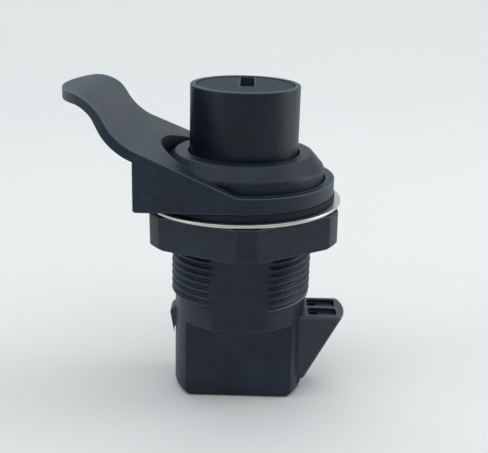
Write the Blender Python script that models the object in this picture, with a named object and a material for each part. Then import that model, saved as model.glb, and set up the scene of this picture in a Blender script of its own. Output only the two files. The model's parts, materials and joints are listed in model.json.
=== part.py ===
# Push-button slam latch with a finger pull, for panels and lids. Metres, +Z up.
#
# The latch stands on the flat base of its housing. The origin is the centre of that base, +X
# points the way the bolt leaves the housing, and the finger pull reaches out along -X.
# Pressing the button drives the plunger's cam leg down into the bolt, and the leg's ramp draws
# the bolt back into the housing. The slotted plug in the button's face turns the drive tongue:
# across the plunger's slot it pushes the plunger, and along the slot the button runs free.

import math

import bmesh
import bpy
from mathutils import Matrix, Vector

MM = 0.001

# Clearances
SEAT = 0.3 * MM              # between pieces that rest on each other
RUN = 0.3 * MM               # between pieces that slide on each other
BUTTON_PLAY = 0.5 * MM       # round the button, in the housing's bore
SHAFT_PLAY = 1.0 * MM        # beside the cam leg, in the floor of the bore
TONGUE_PLAY = 0.45 * MM      # round the drive tongue, in the plunger's slot
OVER = 1.0 * MM              # how far a cutter reaches past the face it opens

# Housing: lower body with two flats, threaded barrel, domed flange
BODY_RADIUS = 18.0 * MM
BODY_FLAT = 10.7 * MM        # from the axis to the body's front and back flats
BODY_FLAT_TOP = 22.4 * MM
BODY_EDGE = 1.2 * MM
THREAD_RADIUS = 19.0 * MM
THREAD_DEPTH = 1.1 * MM
THREAD_PITCH = 2.0 * MM
THREAD_CREST = 0.12          # flat crest, as a share of the pitch
THREAD_FLANK = 0.44          # each flank, as a share of the pitch
BARREL_CUT = 2.35 * MM       # depth of the flats that key the barrel
THREAD_BOTTOM = 28.0 * MM
LEDGE_RADIUS = 18.2 * MM
LEDGE_EDGE = 0.6 * MM
DOME_RADIUS = 21.45 * MM
DOME_SHOULDER = 63.95 * MM   # height at which the dome's cone starts
DOME_EDGE = 0.8 * MM
DOME_TOP = 67.7 * MM
FLANGE_RIM = 0.6 * MM        # wall left outside the flange seal's groove
SPRING_FLOOR = 3.7 * MM      # between the bolt's cavity and the return spring
BORE_EDGE = 0.4 * MM

# Clamped stack, from the nut up
NUT_BOTTOM = 45.4 * MM
NUT_HEIGHT = 8.5 * MM
NUT_FLATS = 49.0 * MM
NUT_CORNER_CUT = 1.4 * MM    # turned off each corner
NUT_BEVEL = 2.6 * MM
NUT_TURN = math.radians(-27.0)
NUT_EDGE = 0.4 * MM
WASHER_WIDTH = 7.05 * MM
WASHER_THICKNESS = 1.2 * MM
GASKET_WIDTH = 5.4 * MM
GASKET_THICKNESS = 1.3 * MM

# Handle: ring round the dome, block, and finger pull
HANDLE_RADIUS = 24.3 * MM
HANDLE_FLOOR = 2.2 * MM
HANDLE_TOP = 61.1 * MM       # height of the ring's top, right of the slope
BLOCK_LEFT = -27.0 * MM
SLOPE_FOOT = -1.2 * MM       # where the slope starts
SLOPE_ANGLE = math.radians(23.0)
RISE_FOOT = -30.8 * MM       # where the slope's line meets the steep rise
RISE_RUN = 6.256 * MM        # from the rise's foot to the crest, seen from above
PULL_TOP = 84.5 * MM
PULL_TIP = -47.3 * MM
PULL_DROOP = 0.5 * MM
PULL_THICKNESS = 2.6 * MM
SLOPE_FILLET = 13.0 * MM
CREST_FILLET = 9.0 * MM
TIP_FILLET = 1.2 * MM
SHOULDER_HALF = 22.4 * MM    # from the middle to the ends of the tip's arc
TIP_BULGE = 13.9 * MM        # of the tip's arc, seen from above
POCKET_PLAY = 0.5 * MM       # round the dome, in the handle's pocket
HANDLE_WALL = 2.0 * MM
CORE_BANDS = ((12.0 * MM, 15.8 * MM), (17.4 * MM, 21.4 * MM))

# Button and what it carries
BUTTON_RADIUS = 14.4 * MM
BUTTON_TOP = 85.2 * MM
BUTTON_BOTTOM = 46.0 * MM
BUTTON_INNER = 11.4 * MM
BUTTON_EDGE = 0.4 * MM
WEB_THICKNESS = 3.3 * MM
LUG_HEIGHT = 4.0 * MM
LUG_REACH = 1.3 * MM         # beyond the button's side
LUG_WIDTH = 7.0 * MM
PRESS_TRAVEL = 12.0 * MM
PLUG_RIM = 1.75 * MM         # from the button's side to the plug's edge
PLUG_SUNK = 0.4 * MM
PLUG_THICKNESS = 3.6 * MM
STEM_RADIUS = 5.0 * MM
STEM_LENGTH = 14.0 * MM      # below the button's web
SLOT_WIDTH = 3.75 * MM
SLOT_SHIFT = 0.45 * MM       # of the slot's middle, to the right of the axis
SLOT_FRONT = -3.2 * MM
SLOT_BACK = 12.2 * MM
SLOT_DEPTH = 3.0 * MM
CLIP_THICKNESS = 0.8 * MM
CLIP_RADIUS = 7.5 * MM
CLIP_GROOVE = 1.0 * MM
CLIP_MOUTH = 3.5 * MM        # from the middle to each side of the clip's mouth
TONGUE_HALF = 7.6 * MM
TONGUE_WIDTH = 3.6 * MM
TONGUE_THICKNESS = 2.6 * MM
TONGUE_ROUND = 1.26 * MM
TONGUE_IN_STEM = 2.2 * MM
SCREW_RADIUS = 1.2 * MM
SCREW_LENGTH = 8.0 * MM
SCREW_HEAD_RADIUS = 2.5 * MM
SCREW_HEAD = 1.4 * MM
SCREW_HEAD_EDGE = 0.5 * MM
DRIVER_REACH = 1.8 * MM      # of each arm of the screw's cross recess
DRIVER_HALF = 0.3 * MM
DRIVER_DEPTH = 0.84 * MM
SPRING_WASHER = 0.5 * MM

# Plunger with its cam leg
PLUNGER_HEAD = 4.0 * MM
PLUNGER_BODY_RADIUS = 9.3 * MM
PLUNGER_LENGTH = 16.1 * MM   # head and sleeve, without the leg
LEG_WIDTH = 4.4 * MM
LEG_LEFT = -8.7 * MM
LEG_RIGHT = 5.7 * MM
LEG_TIP = 1.5 * MM
LEG_BOTTOM = 20.6 * MM

# Bolt
BOLT_WIDTH = 14.0 * MM
BOLT_TOP = 23.0 * MM
BOLT_BOTTOM = 3.9 * MM
BOLT_BACK = -1.5 * MM
BOLT_TRAVEL = 11.1 * MM
NOSE_X = 29.1 * MM
NOSE_LIP = 0.7 * MM
NOSE_FOOT = 19.4 * MM
NOSE_RADIUS = 18.0 * MM      # of the nose's outline, seen from above
NOSE_CORNER = 1.0 * MM
CAM_SLOT_END = 17.2 * MM
CORE_WALL = 1.4 * MM
CORE_RIB = 1.3 * MM          # between the two cores
CORE_START = 18.8 * MM
CORE_STEP = 21.6 * MM        # left of which the cores are deeper
CORE_END = 26.7 * MM
CORE_ROUND = 1.0 * MM
CORE_DRAFT = 0.15 * MM       # by which the deep part is narrower
CORE_DEPTH = 2.4 * MM
CORE_DEEP = 4.4 * MM
TAIL_WIDTH = 5.5 * MM
TAIL_HEIGHT = 5.6 * MM
HOOK_REACH = 1.1 * MM
HOOK_TOP = 0.33 * MM         # reach of the hook's top edge
HOOK_BOTTOM = 15.6 * MM
WINDOW_FLOOR = 2.1 * MM
WINDOW_WALL = 5.4 * MM       # from the body's side in to the step in the cavity's floor
CAVITY_LEFT = -14.6 * MM
PEG_RADIUS = 1.8 * MM
PEG_LENGTH = 3.0 * MM

# Springs and seals
RETURN_COIL = 10.25 * MM
RETURN_WIRE = 1.1 * MM
RETURN_TURNS = 6
BUTTON_COIL = 9.6 * MM
BUTTON_WIRE = 1.0 * MM
BUTTON_TURNS = 4
BOLT_COIL = 2.5 * MM
BOLT_WIRE = 0.7 * MM
BOLT_TURNS = 7
BOLT_SPRING_Z = 9.5 * MM
BOLT_SPRING_DEEP = 8.5 * MM
SPRING_SEAT_THICKNESS = 0.6 * MM
COIL_EVENNESS = 1.25         # a spring's end turns lie flat at 1, and climb more above it
FLANGE_SEAL = 0.55 * MM      # half the thickness of each ring
BUTTON_SEAL = 0.75 * MM
PLUG_SEAL = 0.7 * MM
BUTTON_SEAL_Z = 62.5 * MM

ROUND = 48                   # sides of a large round piece

# Heights and radii that follow from the sizes above
CLEAR_OF_THREAD = THREAD_RADIUS + RUN
THREAD_FLAT = THREAD_RADIUS - BARREL_CUT
WASHER_RADIUS = CLEAR_OF_THREAD + WASHER_WIDTH
GASKET_RADIUS = CLEAR_OF_THREAD + GASKET_WIDTH
WASHER_BOTTOM = NUT_BOTTOM + NUT_HEIGHT + SEAT
GASKET_BOTTOM = WASHER_BOTTOM + WASHER_THICKNESS + SEAT
HANDLE_BOTTOM = GASKET_BOTTOM + GASKET_THICKNESS + SEAT
POCKET_FLOOR = HANDLE_BOTTOM + HANDLE_FLOOR
FLANGE_BOTTOM = POCKET_FLOOR + SEAT
POCKET_RADIUS = DOME_RADIUS + POCKET_PLAY
FLANGE_SEAL_RADIUS = DOME_RADIUS - FLANGE_RIM - SEAT - FLANGE_SEAL
BORE_RADIUS = BUTTON_RADIUS + BUTTON_PLAY
BOLT_HALF = BOLT_WIDTH / 2
CAVITY_HALF = BOLT_HALF + RUN
CAVITY_TOP = BOLT_TOP + RUN
SPRING_LEDGE = CAVITY_TOP + SPRING_FLOOR
CAM_RATIO = BOLT_TRAVEL / PRESS_TRAVEL
WEB_TOP = BUTTON_TOP - PLUG_SUNK - PLUG_THICKNESS - SEAT
WEB_BOTTOM = WEB_TOP - WEB_THICKNESS
STEM_BOTTOM = WEB_BOTTOM - STEM_LENGTH
PLUNGER_TOP = STEM_BOTTOM + TONGUE_IN_STEM - SEAT - TONGUE_THICKNESS - SEAT
SLEEVE_BOTTOM = PLUNGER_TOP - PLUNGER_LENGTH
LEG_HALF = LEG_WIDTH / 2
LEG_SHAFT_HALF = LEG_HALF + SHAFT_PLAY


# Helpers for meshes and objects

def hex_to_linear(code):
    """Linear RGBA for an sRGB hex code."""
    parts = [int(code[i:i + 2], 16) / 255 for i in (1, 3, 5)]
    linear = [c / 12.92 if c <= 0.04045 else ((c + 0.055) / 1.055) ** 2.4 for c in parts]
    return (*linear, 1.0)


def plastic(name, code, roughness, metallic=0.0):
    """A Principled material with the piece's colour, roughness and metallic value."""
    material = bpy.data.materials.get(name) or bpy.data.materials.new(name)
    material.use_nodes = True
    shader = material.node_tree.nodes["Principled BSDF"]
    shader.inputs["Base Color"].default_value = hex_to_linear(code)
    shader.inputs["Roughness"].default_value = roughness
    shader.inputs["Metallic"].default_value = metallic
    return material


def finish(bm, name, material=None, smooth=math.radians(35)):
    """Turns a bmesh into an object of the scene, with its faces outwards."""
    bmesh.ops.remove_doubles(bm, verts=bm.verts, dist=1e-7)
    bmesh.ops.recalc_face_normals(bm, faces=bm.faces)
    mesh = bpy.data.meshes.new(name)
    bm.to_mesh(mesh)
    bm.free()
    mesh.shade_smooth()
    mesh.set_sharp_from_angle(angle=smooth)
    if material:
        mesh.materials.append(material)
    obj = bpy.data.objects.new(name, mesh)
    bpy.context.scene.collection.objects.link(obj)
    return obj


def as_cutter(obj):
    """Marks an object as a tool for Booleans, which is no piece of the latch."""
    obj.hide_render = True
    obj.display_type = "WIRE"
    return obj


def combine(obj, tool, operation):
    """Adds a Boolean to obj, with tool as its hidden operand."""
    modifier = obj.modifiers.new(f"{operation.lower()} {tool.name}", "BOOLEAN")
    modifier.object = as_cutter(tool)
    modifier.operation = operation
    modifier.solver = "EXACT"
    return obj


def cut(obj, *tools):
    for tool in tools:
        combine(obj, tool, "DIFFERENCE")
    return obj


def join(obj, *tools):
    for tool in tools:
        combine(obj, tool, "UNION")
    return obj


def keep_inside(obj, tool):
    return combine(obj, tool, "INTERSECT")


def arc_lengths(knots):
    """How much of its two straights the arc at each knot takes up, and each straight's length."""
    corners = [Vector(knot[:2]) for knot in knots]
    straights = [(b - a).length for a, b in zip(corners, corners[1:])]
    taken = [0.0]
    for i in range(1, len(knots) - 1):
        half = (corners[i - 1] - corners[i]).angle(corners[i + 1] - corners[i]) / 2
        taken.append(max(knots[i][2], 0.0) / math.tan(half))
    return taken + [0.0], straights


def rounded(knots, steps=4):
    """Points along a path of (u, v, radius) knots, with an arc at each knot that has a radius.

    Two arcs that meet on a straight which is too short for both share its length.
    """
    taken, straights = arc_lengths(knots)
    points = []
    last = len(knots) - 1
    for i, (u, v, radius) in enumerate(knots):
        corner = Vector((u, v))
        if radius <= 0 or i in (0, last):
            points.append(corner)
            continue
        room = min(straights[i - 1] / (taken[i - 1] + taken[i]), straights[i] / (taken[i] + taken[i + 1]))
        radius *= min(1.0, room)
        back = (Vector(knots[i - 1][:2]) - corner).normalized()
        ahead = (Vector(knots[i + 1][:2]) - corner).normalized()
        half = back.angle(ahead) / 2
        centre = corner + (back + ahead).normalized() * radius / math.sin(half)
        start = corner + back * radius / math.tan(half) - centre
        sweep = start.angle_signed(corner + ahead * radius / math.tan(half) - centre)
        for k in range(steps + 1):
            points.append(centre + Matrix.Rotation(-sweep * k / steps, 2) @ start)
    return [(p.x, p.y) for p in points]


def shifted(knots, distance):
    """The same path moved sideways, to its left as it runs, with its fillets kept concentric."""
    moved = []
    for i, (u, v, radius) in enumerate(knots):
        corner = Vector((u, v))
        before = Vector(knots[i - 1][:2]) if i else None
        after = Vector(knots[i + 1][:2]) if i + 1 < len(knots) else None
        ways = [(corner - before).normalized()] if before else []
        ways += [(after - corner).normalized()] if after else []
        sides = [Vector((-way.y, way.x)) for way in ways]
        middle = sum(sides, Vector((0, 0))).normalized()
        turn = ways[0].x * ways[-1].y - ways[0].y * ways[-1].x
        place = corner + middle * distance / middle.dot(sides[0])
        moved.append((place.x, place.y, radius - math.copysign(distance, turn) if radius else 0))
    return moved


def soft_rectangle(x, y, radius):
    """A rectangle's outline with rounded corners, between two limits on each axis."""
    middle = (x[0] + x[1]) / 2
    return rounded([
        (middle, y[0], 0), (x[1], y[0], radius), (x[1], y[1], radius), (x[0], y[1], radius),
        (x[0], y[0], radius), (middle, y[0], 0),
    ], 3)[:-1]


def lathe(name, outline, material=None, sides=ROUND):
    """Turns a closed outline of (radius, height) points round the Z axis."""
    bm = bmesh.new()
    verts = [bm.verts.new((r, 0, z)) for r, z in outline]
    edges = [bm.edges.new((a, b)) for a, b in zip(verts, verts[1:] + verts[:1])]
    on_axis = [e for e in edges if all(v.co.x < 1e-9 for v in e.verts)]
    for edge in on_axis:
        bm.edges.remove(edge)
    bmesh.ops.spin(bm, geom=bm.verts[:] + bm.edges[:], cent=(0, 0, 0), axis=(0, 0, 1),
                   angle=math.tau, steps=sides, use_merge=True)
    return finish(bm, name, material)


def prism(name, outline, low, high, along="Z", material=None):
    """A closed outline drawn out from low to high along an axis.

    The outline's points are (x, y) for Z, (x, z) for Y and (y, z) for X.
    """
    place = {"Z": lambda u, v, w: (u, v, w), "Y": lambda u, v, w: (u, w, v), "X": lambda u, v, w: (w, u, v)}
    bm = bmesh.new()
    face = bm.faces.new([bm.verts.new(place[along](u, v, low)) for u, v in outline])
    way = Vector(place[along](0, 0, high - low))
    drawn = bmesh.ops.extrude_face_region(bm, geom=[face])
    bmesh.ops.translate(bm, vec=way, verts=[g for g in drawn["geom"] if isinstance(g, bmesh.types.BMVert)])
    return finish(bm, name, material)


def stacked(name, outlines, material=None):
    """A solid whose walls join closed outlines of (x, y, z) points, one above the other."""
    bm = bmesh.new()
    rings = [[bm.verts.new(point) for point in outline] for outline in outlines]
    bm.faces.new(rings[0])
    bm.faces.new(rings[-1])
    for low, high in zip(rings, rings[1:]):
        for i in range(len(low)):
            j = (i + 1) % len(low)
            bm.faces.new((low[i], low[j], high[j], high[i]))
    return finish(bm, name, material)


def box(name, x, y, z, material=None):
    """A block between two limits on each axis."""
    return prism(name, [(x[0], y[0]), (x[1], y[0]), (x[1], y[1]), (x[0], y[1])], z[0], z[1], "Z", material)


def rod(name, radius, low, high, sides=ROUND, material=None):
    return lathe(name, [(0, low), (radius, low), (radius, high), (0, high)], material, sides)


def lay_along_x(obj, start, height):
    """Turns a piece that was made up the Z axis to run along +X from a start, at a height."""
    obj.matrix_world = Matrix.Translation((start, 0, height)) @ Matrix.Rotation(math.pi / 2, 4, "Y")


def disc_ring(name, inner, outer, low, high, material, sides=ROUND):
    return lathe(name, [(inner, low), (outer, low), (outer, high), (inner, high)], material, sides)


def round_ring(name, radius, half, height, material, sides=40, section=6):
    """A ring of round section, such as a seal."""
    turns = [math.tau * (k + 0.5) / section for k in range(section)]
    outline = [(radius + half * math.cos(a), height + half * math.sin(a)) for a in turns]
    return lathe(name, outline, material, sides)


def coil(name, radius, wire, turns, length, material, steps=16, section=6):
    """A compression spring along +Z from 0 to length, with its closed end turns."""
    bm = bmesh.new()
    rise = length - wire
    count = turns * steps
    rings = []
    for k in range(count + 1):
        share = k / count
        turn = math.tau * turns * share
        eased = share - math.sin(math.tau * share) / (math.tau * COIL_EVENNESS)
        middle = Vector((radius * math.cos(turn), radius * math.sin(turn), wire / 2 + rise * eased))
        out = Vector((math.cos(turn), math.sin(turn), 0))
        ring = []
        for s in range(section):
            a = math.tau * s / section
            way = out * math.cos(a) + Vector((0, 0, math.sin(a)))
            ring.append(bm.verts.new(middle + way * wire / 2))
        rings.append(ring)
    for first, second in zip(rings, rings[1:]):
        for s in range(section):
            t = (s + 1) % section
            bm.faces.new((first[s], first[t], second[t], second[s]))
    bm.faces.new(rings[0])
    bm.faces.new(rings[-1][::-1])
    return finish(bm, name, material)


def threaded_rod(name, radius, depth, pitch, low, high, sides=48):
    """A solid rod with a V thread between two heights.

    Each row of points climbs one pitch a turn. The rod is made too long and trimmed flat.
    """
    bm = bmesh.new()
    shape = [(0.0, radius), (THREAD_CREST, radius), (THREAD_CREST + THREAD_FLANK, radius - depth)]
    first = math.floor(low / pitch) - 2
    pitches = math.ceil(high / pitch) + 2 - first
    columns = []
    for j in range(sides + 1):
        turn = j / sides
        column = []
        for k in range(pitches):
            for share, r in shape:
                z = (first + k + share + turn) * pitch
                a = math.tau * turn
                column.append(bm.verts.new((r * math.cos(a), r * math.sin(a), z)))
        columns.append(column)
    for left, right in zip(columns, columns[1:]):
        for k in range(len(left) - 1):
            bm.faces.new((left[k], right[k], right[k + 1], left[k + 1]))
    bmesh.ops.remove_doubles(bm, verts=bm.verts, dist=1e-7)
    for height, way in ((low, -1), (high, 1)):
        geometry = bm.verts[:] + bm.edges[:] + bm.faces[:]
        bmesh.ops.bisect_plane(bm, geom=geometry, dist=1e-8, plane_co=(0, 0, height),
                               plane_no=(0, 0, way), clear_outer=True)
    bmesh.ops.holes_fill(bm, edges=[e for e in bm.edges if e.is_boundary], sides=0)
    return finish(bm, name)


# Housing

def dome_and_flange():
    """The flange with its domed top, and the groove below it for the flange seal."""
    inner = FLANGE_SEAL_RADIUS - FLANGE_SEAL - SEAT
    outer = FLANGE_SEAL_RADIUS + FLANGE_SEAL + SEAT
    groove_top = FLANGE_BOTTOM + 2 * FLANGE_SEAL + SEAT
    core = BORE_RADIUS - 2 * OVER
    dome = rounded([
        (DOME_RADIUS, FLANGE_BOTTOM, 0),
        (DOME_RADIUS, DOME_SHOULDER, DOME_EDGE),
        (LEDGE_RADIUS, DOME_TOP, LEDGE_EDGE),
        (core, DOME_TOP, 0),
    ], 3)
    groove = [(core, FLANGE_BOTTOM), (inner, FLANGE_BOTTOM), (inner, groove_top), (outer, groove_top),
              (outer, FLANGE_BOTTOM)]
    return lathe("dome form", groove + dome)


def guide_grooves():
    """Two grooves in the bore that guide the button's lugs and stop them at the top."""
    reach = BUTTON_RADIUS + LUG_REACH + BUTTON_PLAY
    half = LUG_WIDTH / 2 + RUN
    low = BUTTON_BOTTOM - PRESS_TRAVEL - 2 * RUN
    high = BUTTON_BOTTOM + LUG_HEIGHT + SEAT
    return box("guide grooves", (-reach, reach), (-half, half), (low, high))


def housing(material):
    """One moulding: body, threaded barrel and dome, hollow for the button, plunger and bolt."""
    body = lathe("housing", [
        (0, 0), (BODY_RADIUS - BODY_EDGE, 0), (BODY_RADIUS, BODY_EDGE),
        (BODY_RADIUS, THREAD_BOTTOM + SEAT), (0, THREAD_BOTTOM + SEAT),
    ], material)
    join(body, threaded_rod("thread form", THREAD_RADIUS, THREAD_DEPTH, THREAD_PITCH,
                            THREAD_BOTTOM, FLANGE_BOTTOM + OVER))
    far = BODY_RADIUS * 2
    for side, word in ((-1, "front"), (1, "back")):
        low = sorted((side * BODY_FLAT, side * far))
        high = sorted((side * THREAD_FLAT, side * far))
        cut(body, box(f"{word} body flat", (-far, far), low, (-far, BODY_FLAT_TOP)),
            box(f"{word} barrel flat", (-far, far), high, (BODY_FLAT_TOP - OVER, far * 2)))
    join(body, dome_and_flange())
    bore = lathe("button bore", [
        (0, SPRING_LEDGE), (BORE_RADIUS, SPRING_LEDGE), (BORE_RADIUS, DOME_TOP - BORE_EDGE),
        (BORE_RADIUS + 2 * BORE_EDGE, DOME_TOP + BORE_EDGE), (0, DOME_TOP + BORE_EDGE),
    ])
    shaft_reach = SHAFT_PLAY - LEG_LEFT
    shaft = box("leg shaft", (-shaft_reach, shaft_reach), (-LEG_SHAFT_HALF, LEG_SHAFT_HALF),
                (CAVITY_TOP - OVER, SPRING_LEDGE + OVER))
    step = BODY_RADIUS - WINDOW_WALL
    cavity_floor = BOLT_BOTTOM - RUN
    cavity = prism("bolt cavity", [
        (CAVITY_LEFT, cavity_floor), (step, cavity_floor), (step, WINDOW_FLOOR),
        (far, WINDOW_FLOOR), (far, CAVITY_TOP), (CAVITY_LEFT, CAVITY_TOP),
    ], -CAVITY_HALF, CAVITY_HALF, "Y")
    tail_half = TAIL_WIDTH / 2 + RUN
    tail = box("tail window", (-far, CAVITY_LEFT + OVER), (-tail_half, tail_half),
               (BOLT_TOP - TAIL_HEIGHT - RUN, CAVITY_TOP))
    cut(body, bore, guide_grooves(), cavity, shaft, tail)
    peg = rod("spring peg", PEG_RADIUS, -OVER, PEG_LENGTH, 12)
    lay_along_x(peg, CAVITY_LEFT, BOLT_SPRING_Z)
    join(body, peg)
    return body


# Handle

def slope_height(x):
    """Height of the handle's sloping top."""
    return HANDLE_TOP + (SLOPE_FOOT - x) * math.tan(SLOPE_ANGLE)


def pull_path():
    """The handle's top in the XZ plane, from the ring up the slope and the rise to the tip."""
    return [
        (SLOPE_FOOT, HANDLE_TOP, 0),
        (RISE_FOOT, slope_height(RISE_FOOT), SLOPE_FILLET),
        (RISE_FOOT - RISE_RUN, PULL_TOP, CREST_FILLET),
        (PULL_TIP, PULL_TOP - PULL_DROOP, 0),
    ]


def handle_side():
    """The handle's outline seen from the front: ring, block and the pull's plate."""
    top = pull_path()
    under = shifted(top, PULL_THICKNESS)
    tip_low = (PULL_TIP, PULL_TOP - PULL_DROOP - PULL_THICKNESS, TIP_FILLET)
    tip_high = (PULL_TIP, PULL_TOP - PULL_DROOP, TIP_FILLET)
    block_top = slope_height(BLOCK_LEFT) - PULL_THICKNESS / math.cos(SLOPE_ANGLE)
    right = 2 * HANDLE_RADIUS
    path = [(right, HANDLE_BOTTOM, 0), (right, HANDLE_TOP, 0)] + top[:-1] + [tip_high, tip_low]
    path += under[2:0:-1] + [(BLOCK_LEFT, block_top, 0), (BLOCK_LEFT, HANDLE_BOTTOM, 0)]
    return rounded(path, 6)


def handle_plan():
    """The handle's outline seen from above: half a ring, tapering sides, and the tip's wide arc."""
    half_ring = [math.pi / 2 - math.pi * k / (ROUND / 2) for k in range(ROUND // 2 + 1)]
    ring = [(HANDLE_RADIUS * math.cos(a), HANDLE_RADIUS * math.sin(a)) for a in half_ring]
    tip_radius = (SHOULDER_HALF ** 2 + TIP_BULGE ** 2) / (2 * TIP_BULGE)
    centre = PULL_TIP + tip_radius
    reach = math.atan2(SHOULDER_HALF, tip_radius - TIP_BULGE)
    arc = [math.pi + reach - 2 * reach * k / 20 for k in range(21)]
    tip = [(centre + tip_radius * math.cos(a), tip_radius * math.sin(a)) for a in arc]
    return ring + tip


def double_d(name, radius, flat, low, high):
    """A round cutter with two flats, for what is keyed to the barrel."""
    edge = math.asin(flat / radius)
    side = [edge - 2 * edge * k / 16 for k in range(17)]
    right = [(radius * math.cos(a), radius * math.sin(a)) for a in side]
    left = [(-x, -y) for x, y in right]
    return prism(name, right + left, low, high)


def handle_cores():
    """Hollows moulded into the block's underside, two in each corner beside the ring."""
    left = BLOCK_LEFT + HANDLE_WALL
    right = BLOCK_LEFT / 2
    wall_drop = HANDLE_WALL / math.cos(SLOPE_ANGLE)
    low = HANDLE_BOTTOM - OVER
    roof = [(x, slope_height(x) - wall_drop) for x in (right, left)]
    ring = rod("core ring", POCKET_RADIUS + HANDLE_WALL, low - OVER, PULL_TOP)
    cores = []
    for side, word in ((-1, "front"), (1, "back")):
        for inner, outer in CORE_BANDS:
            band = sorted((side * inner, side * outer))
            core = prism(f"{word} core {len(cores)}", [(left, low), (right, low)] + roof, *band, "Y")
            cores.append(cut(core, ring))
    return cores


def handle(material):
    """One moulding: the ring that the dome clamps, its block and the finger pull."""
    body = prism("handle", handle_side(), -2 * HANDLE_RADIUS, 2 * HANDLE_RADIUS, "Y", material)
    keep_inside(body, prism("handle plan", handle_plan(), HANDLE_BOTTOM - OVER, PULL_TOP + OVER))
    cut(body, rod("dome pocket", POCKET_RADIUS, POCKET_FLOOR, PULL_TOP))
    cut(body, double_d("keyed bore", CLEAR_OF_THREAD, THREAD_FLAT + RUN,
                       HANDLE_BOTTOM - OVER, POCKET_FLOOR + OVER))
    return body


# Clamped stack

def hex_nut(material):
    """Hexagon whose corners are turned off to small facets."""
    half = NUT_FLATS / 2
    corner = half / math.cos(math.pi / 6)
    facet_radius = corner - NUT_CORNER_CUT
    facet = math.acos(half / facet_radius)
    angles = []
    for k in range(6):
        flat = math.tau * k / 6 + math.pi / 6
        angles += [flat - facet, flat + facet]
    outline = [(facet_radius * math.cos(a), facet_radius * math.sin(a)) for a in angles]
    nut = prism("hex_nut", outline, NUT_BOTTOM, NUT_BOTTOM + NUT_HEIGHT, "Z", material)
    nut.rotation_euler.z = NUT_TURN
    low = NUT_BOTTOM - SEAT / 3
    high = NUT_BOTTOM + NUT_HEIGHT + SEAT / 3
    bevel = lathe("nut chamfer", [
        (0, low), (corner - NUT_BEVEL, low), (corner, NUT_BOTTOM + NUT_EDGE),
        (corner, NUT_BOTTOM + NUT_HEIGHT - NUT_EDGE), (corner - NUT_BEVEL, high), (0, high),
    ])
    keep_inside(nut, bevel)
    cut(nut, rod("nut bore", CLEAR_OF_THREAD, NUT_BOTTOM - OVER, NUT_BOTTOM + NUT_HEIGHT + OVER))
    return nut


def clamped_stack(nylon, steel, rubber):
    washer_top = WASHER_BOTTOM + WASHER_THICKNESS
    gasket_top = GASKET_BOTTOM + GASKET_THICKNESS
    hex_nut(nylon)
    disc_ring("washer", CLEAR_OF_THREAD, WASHER_RADIUS, WASHER_BOTTOM, washer_top, steel)
    disc_ring("panel_gasket", CLEAR_OF_THREAD, GASKET_RADIUS, GASKET_BOTTOM, gasket_top, rubber)
    round_ring("flange_seal", FLANGE_SEAL_RADIUS, FLANGE_SEAL, FLANGE_BOTTOM + FLANGE_SEAL, rubber)


# Button, plug, tongue and plunger

def button(material, rubber):
    """A hollow cup with a web that carries the plug, and two lugs that hold it in the housing."""
    recess = BUTTON_RADIUS - PLUG_RIM + RUN
    groove_half = BUTTON_SEAL + SEAT
    groove_in = BORE_RADIUS - SEAT - 2 * BUTTON_SEAL - SEAT
    seal_in = STEM_RADIUS + SEAT + 2 * PLUG_SEAL + SEAT
    seal_low = WEB_TOP - 2 * PLUG_SEAL - SEAT
    shell = lathe("button", [
        (BUTTON_INNER, BUTTON_BOTTOM), (BUTTON_RADIUS, BUTTON_BOTTOM),
        (BUTTON_RADIUS, BUTTON_SEAL_Z - groove_half), (groove_in, BUTTON_SEAL_Z - groove_half),
        (groove_in, BUTTON_SEAL_Z + groove_half), (BUTTON_RADIUS, BUTTON_SEAL_Z + groove_half),
        (BUTTON_RADIUS, BUTTON_TOP - BUTTON_EDGE), (BUTTON_RADIUS - BUTTON_EDGE, BUTTON_TOP),
        (recess, BUTTON_TOP), (recess, WEB_TOP), (seal_in, WEB_TOP), (seal_in, seal_low),
        (STEM_RADIUS + RUN, seal_low), (STEM_RADIUS + RUN, WEB_BOTTOM), (BUTTON_INNER, WEB_BOTTOM),
    ], material)
    reach = BUTTON_RADIUS + LUG_REACH
    top = BUTTON_BOTTOM + LUG_HEIGHT
    half = LUG_WIDTH / 2
    for side, word in ((-1, "left"), (1, "right")):
        outline = [(side * (BUTTON_INNER + OVER), BUTTON_BOTTOM), (side * BUTTON_RADIUS, BUTTON_BOTTOM),
                   (side * reach, BUTTON_BOTTOM + LUG_HEIGHT / 2), (side * reach, top),
                   (side * (BUTTON_INNER + OVER), top)]
        join(shell, prism(f"{word} lug", outline, -half, half, "Y"))
    round_ring("button_seal", BORE_RADIUS - SEAT - BUTTON_SEAL, BUTTON_SEAL, BUTTON_SEAL_Z, rubber)


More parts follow.
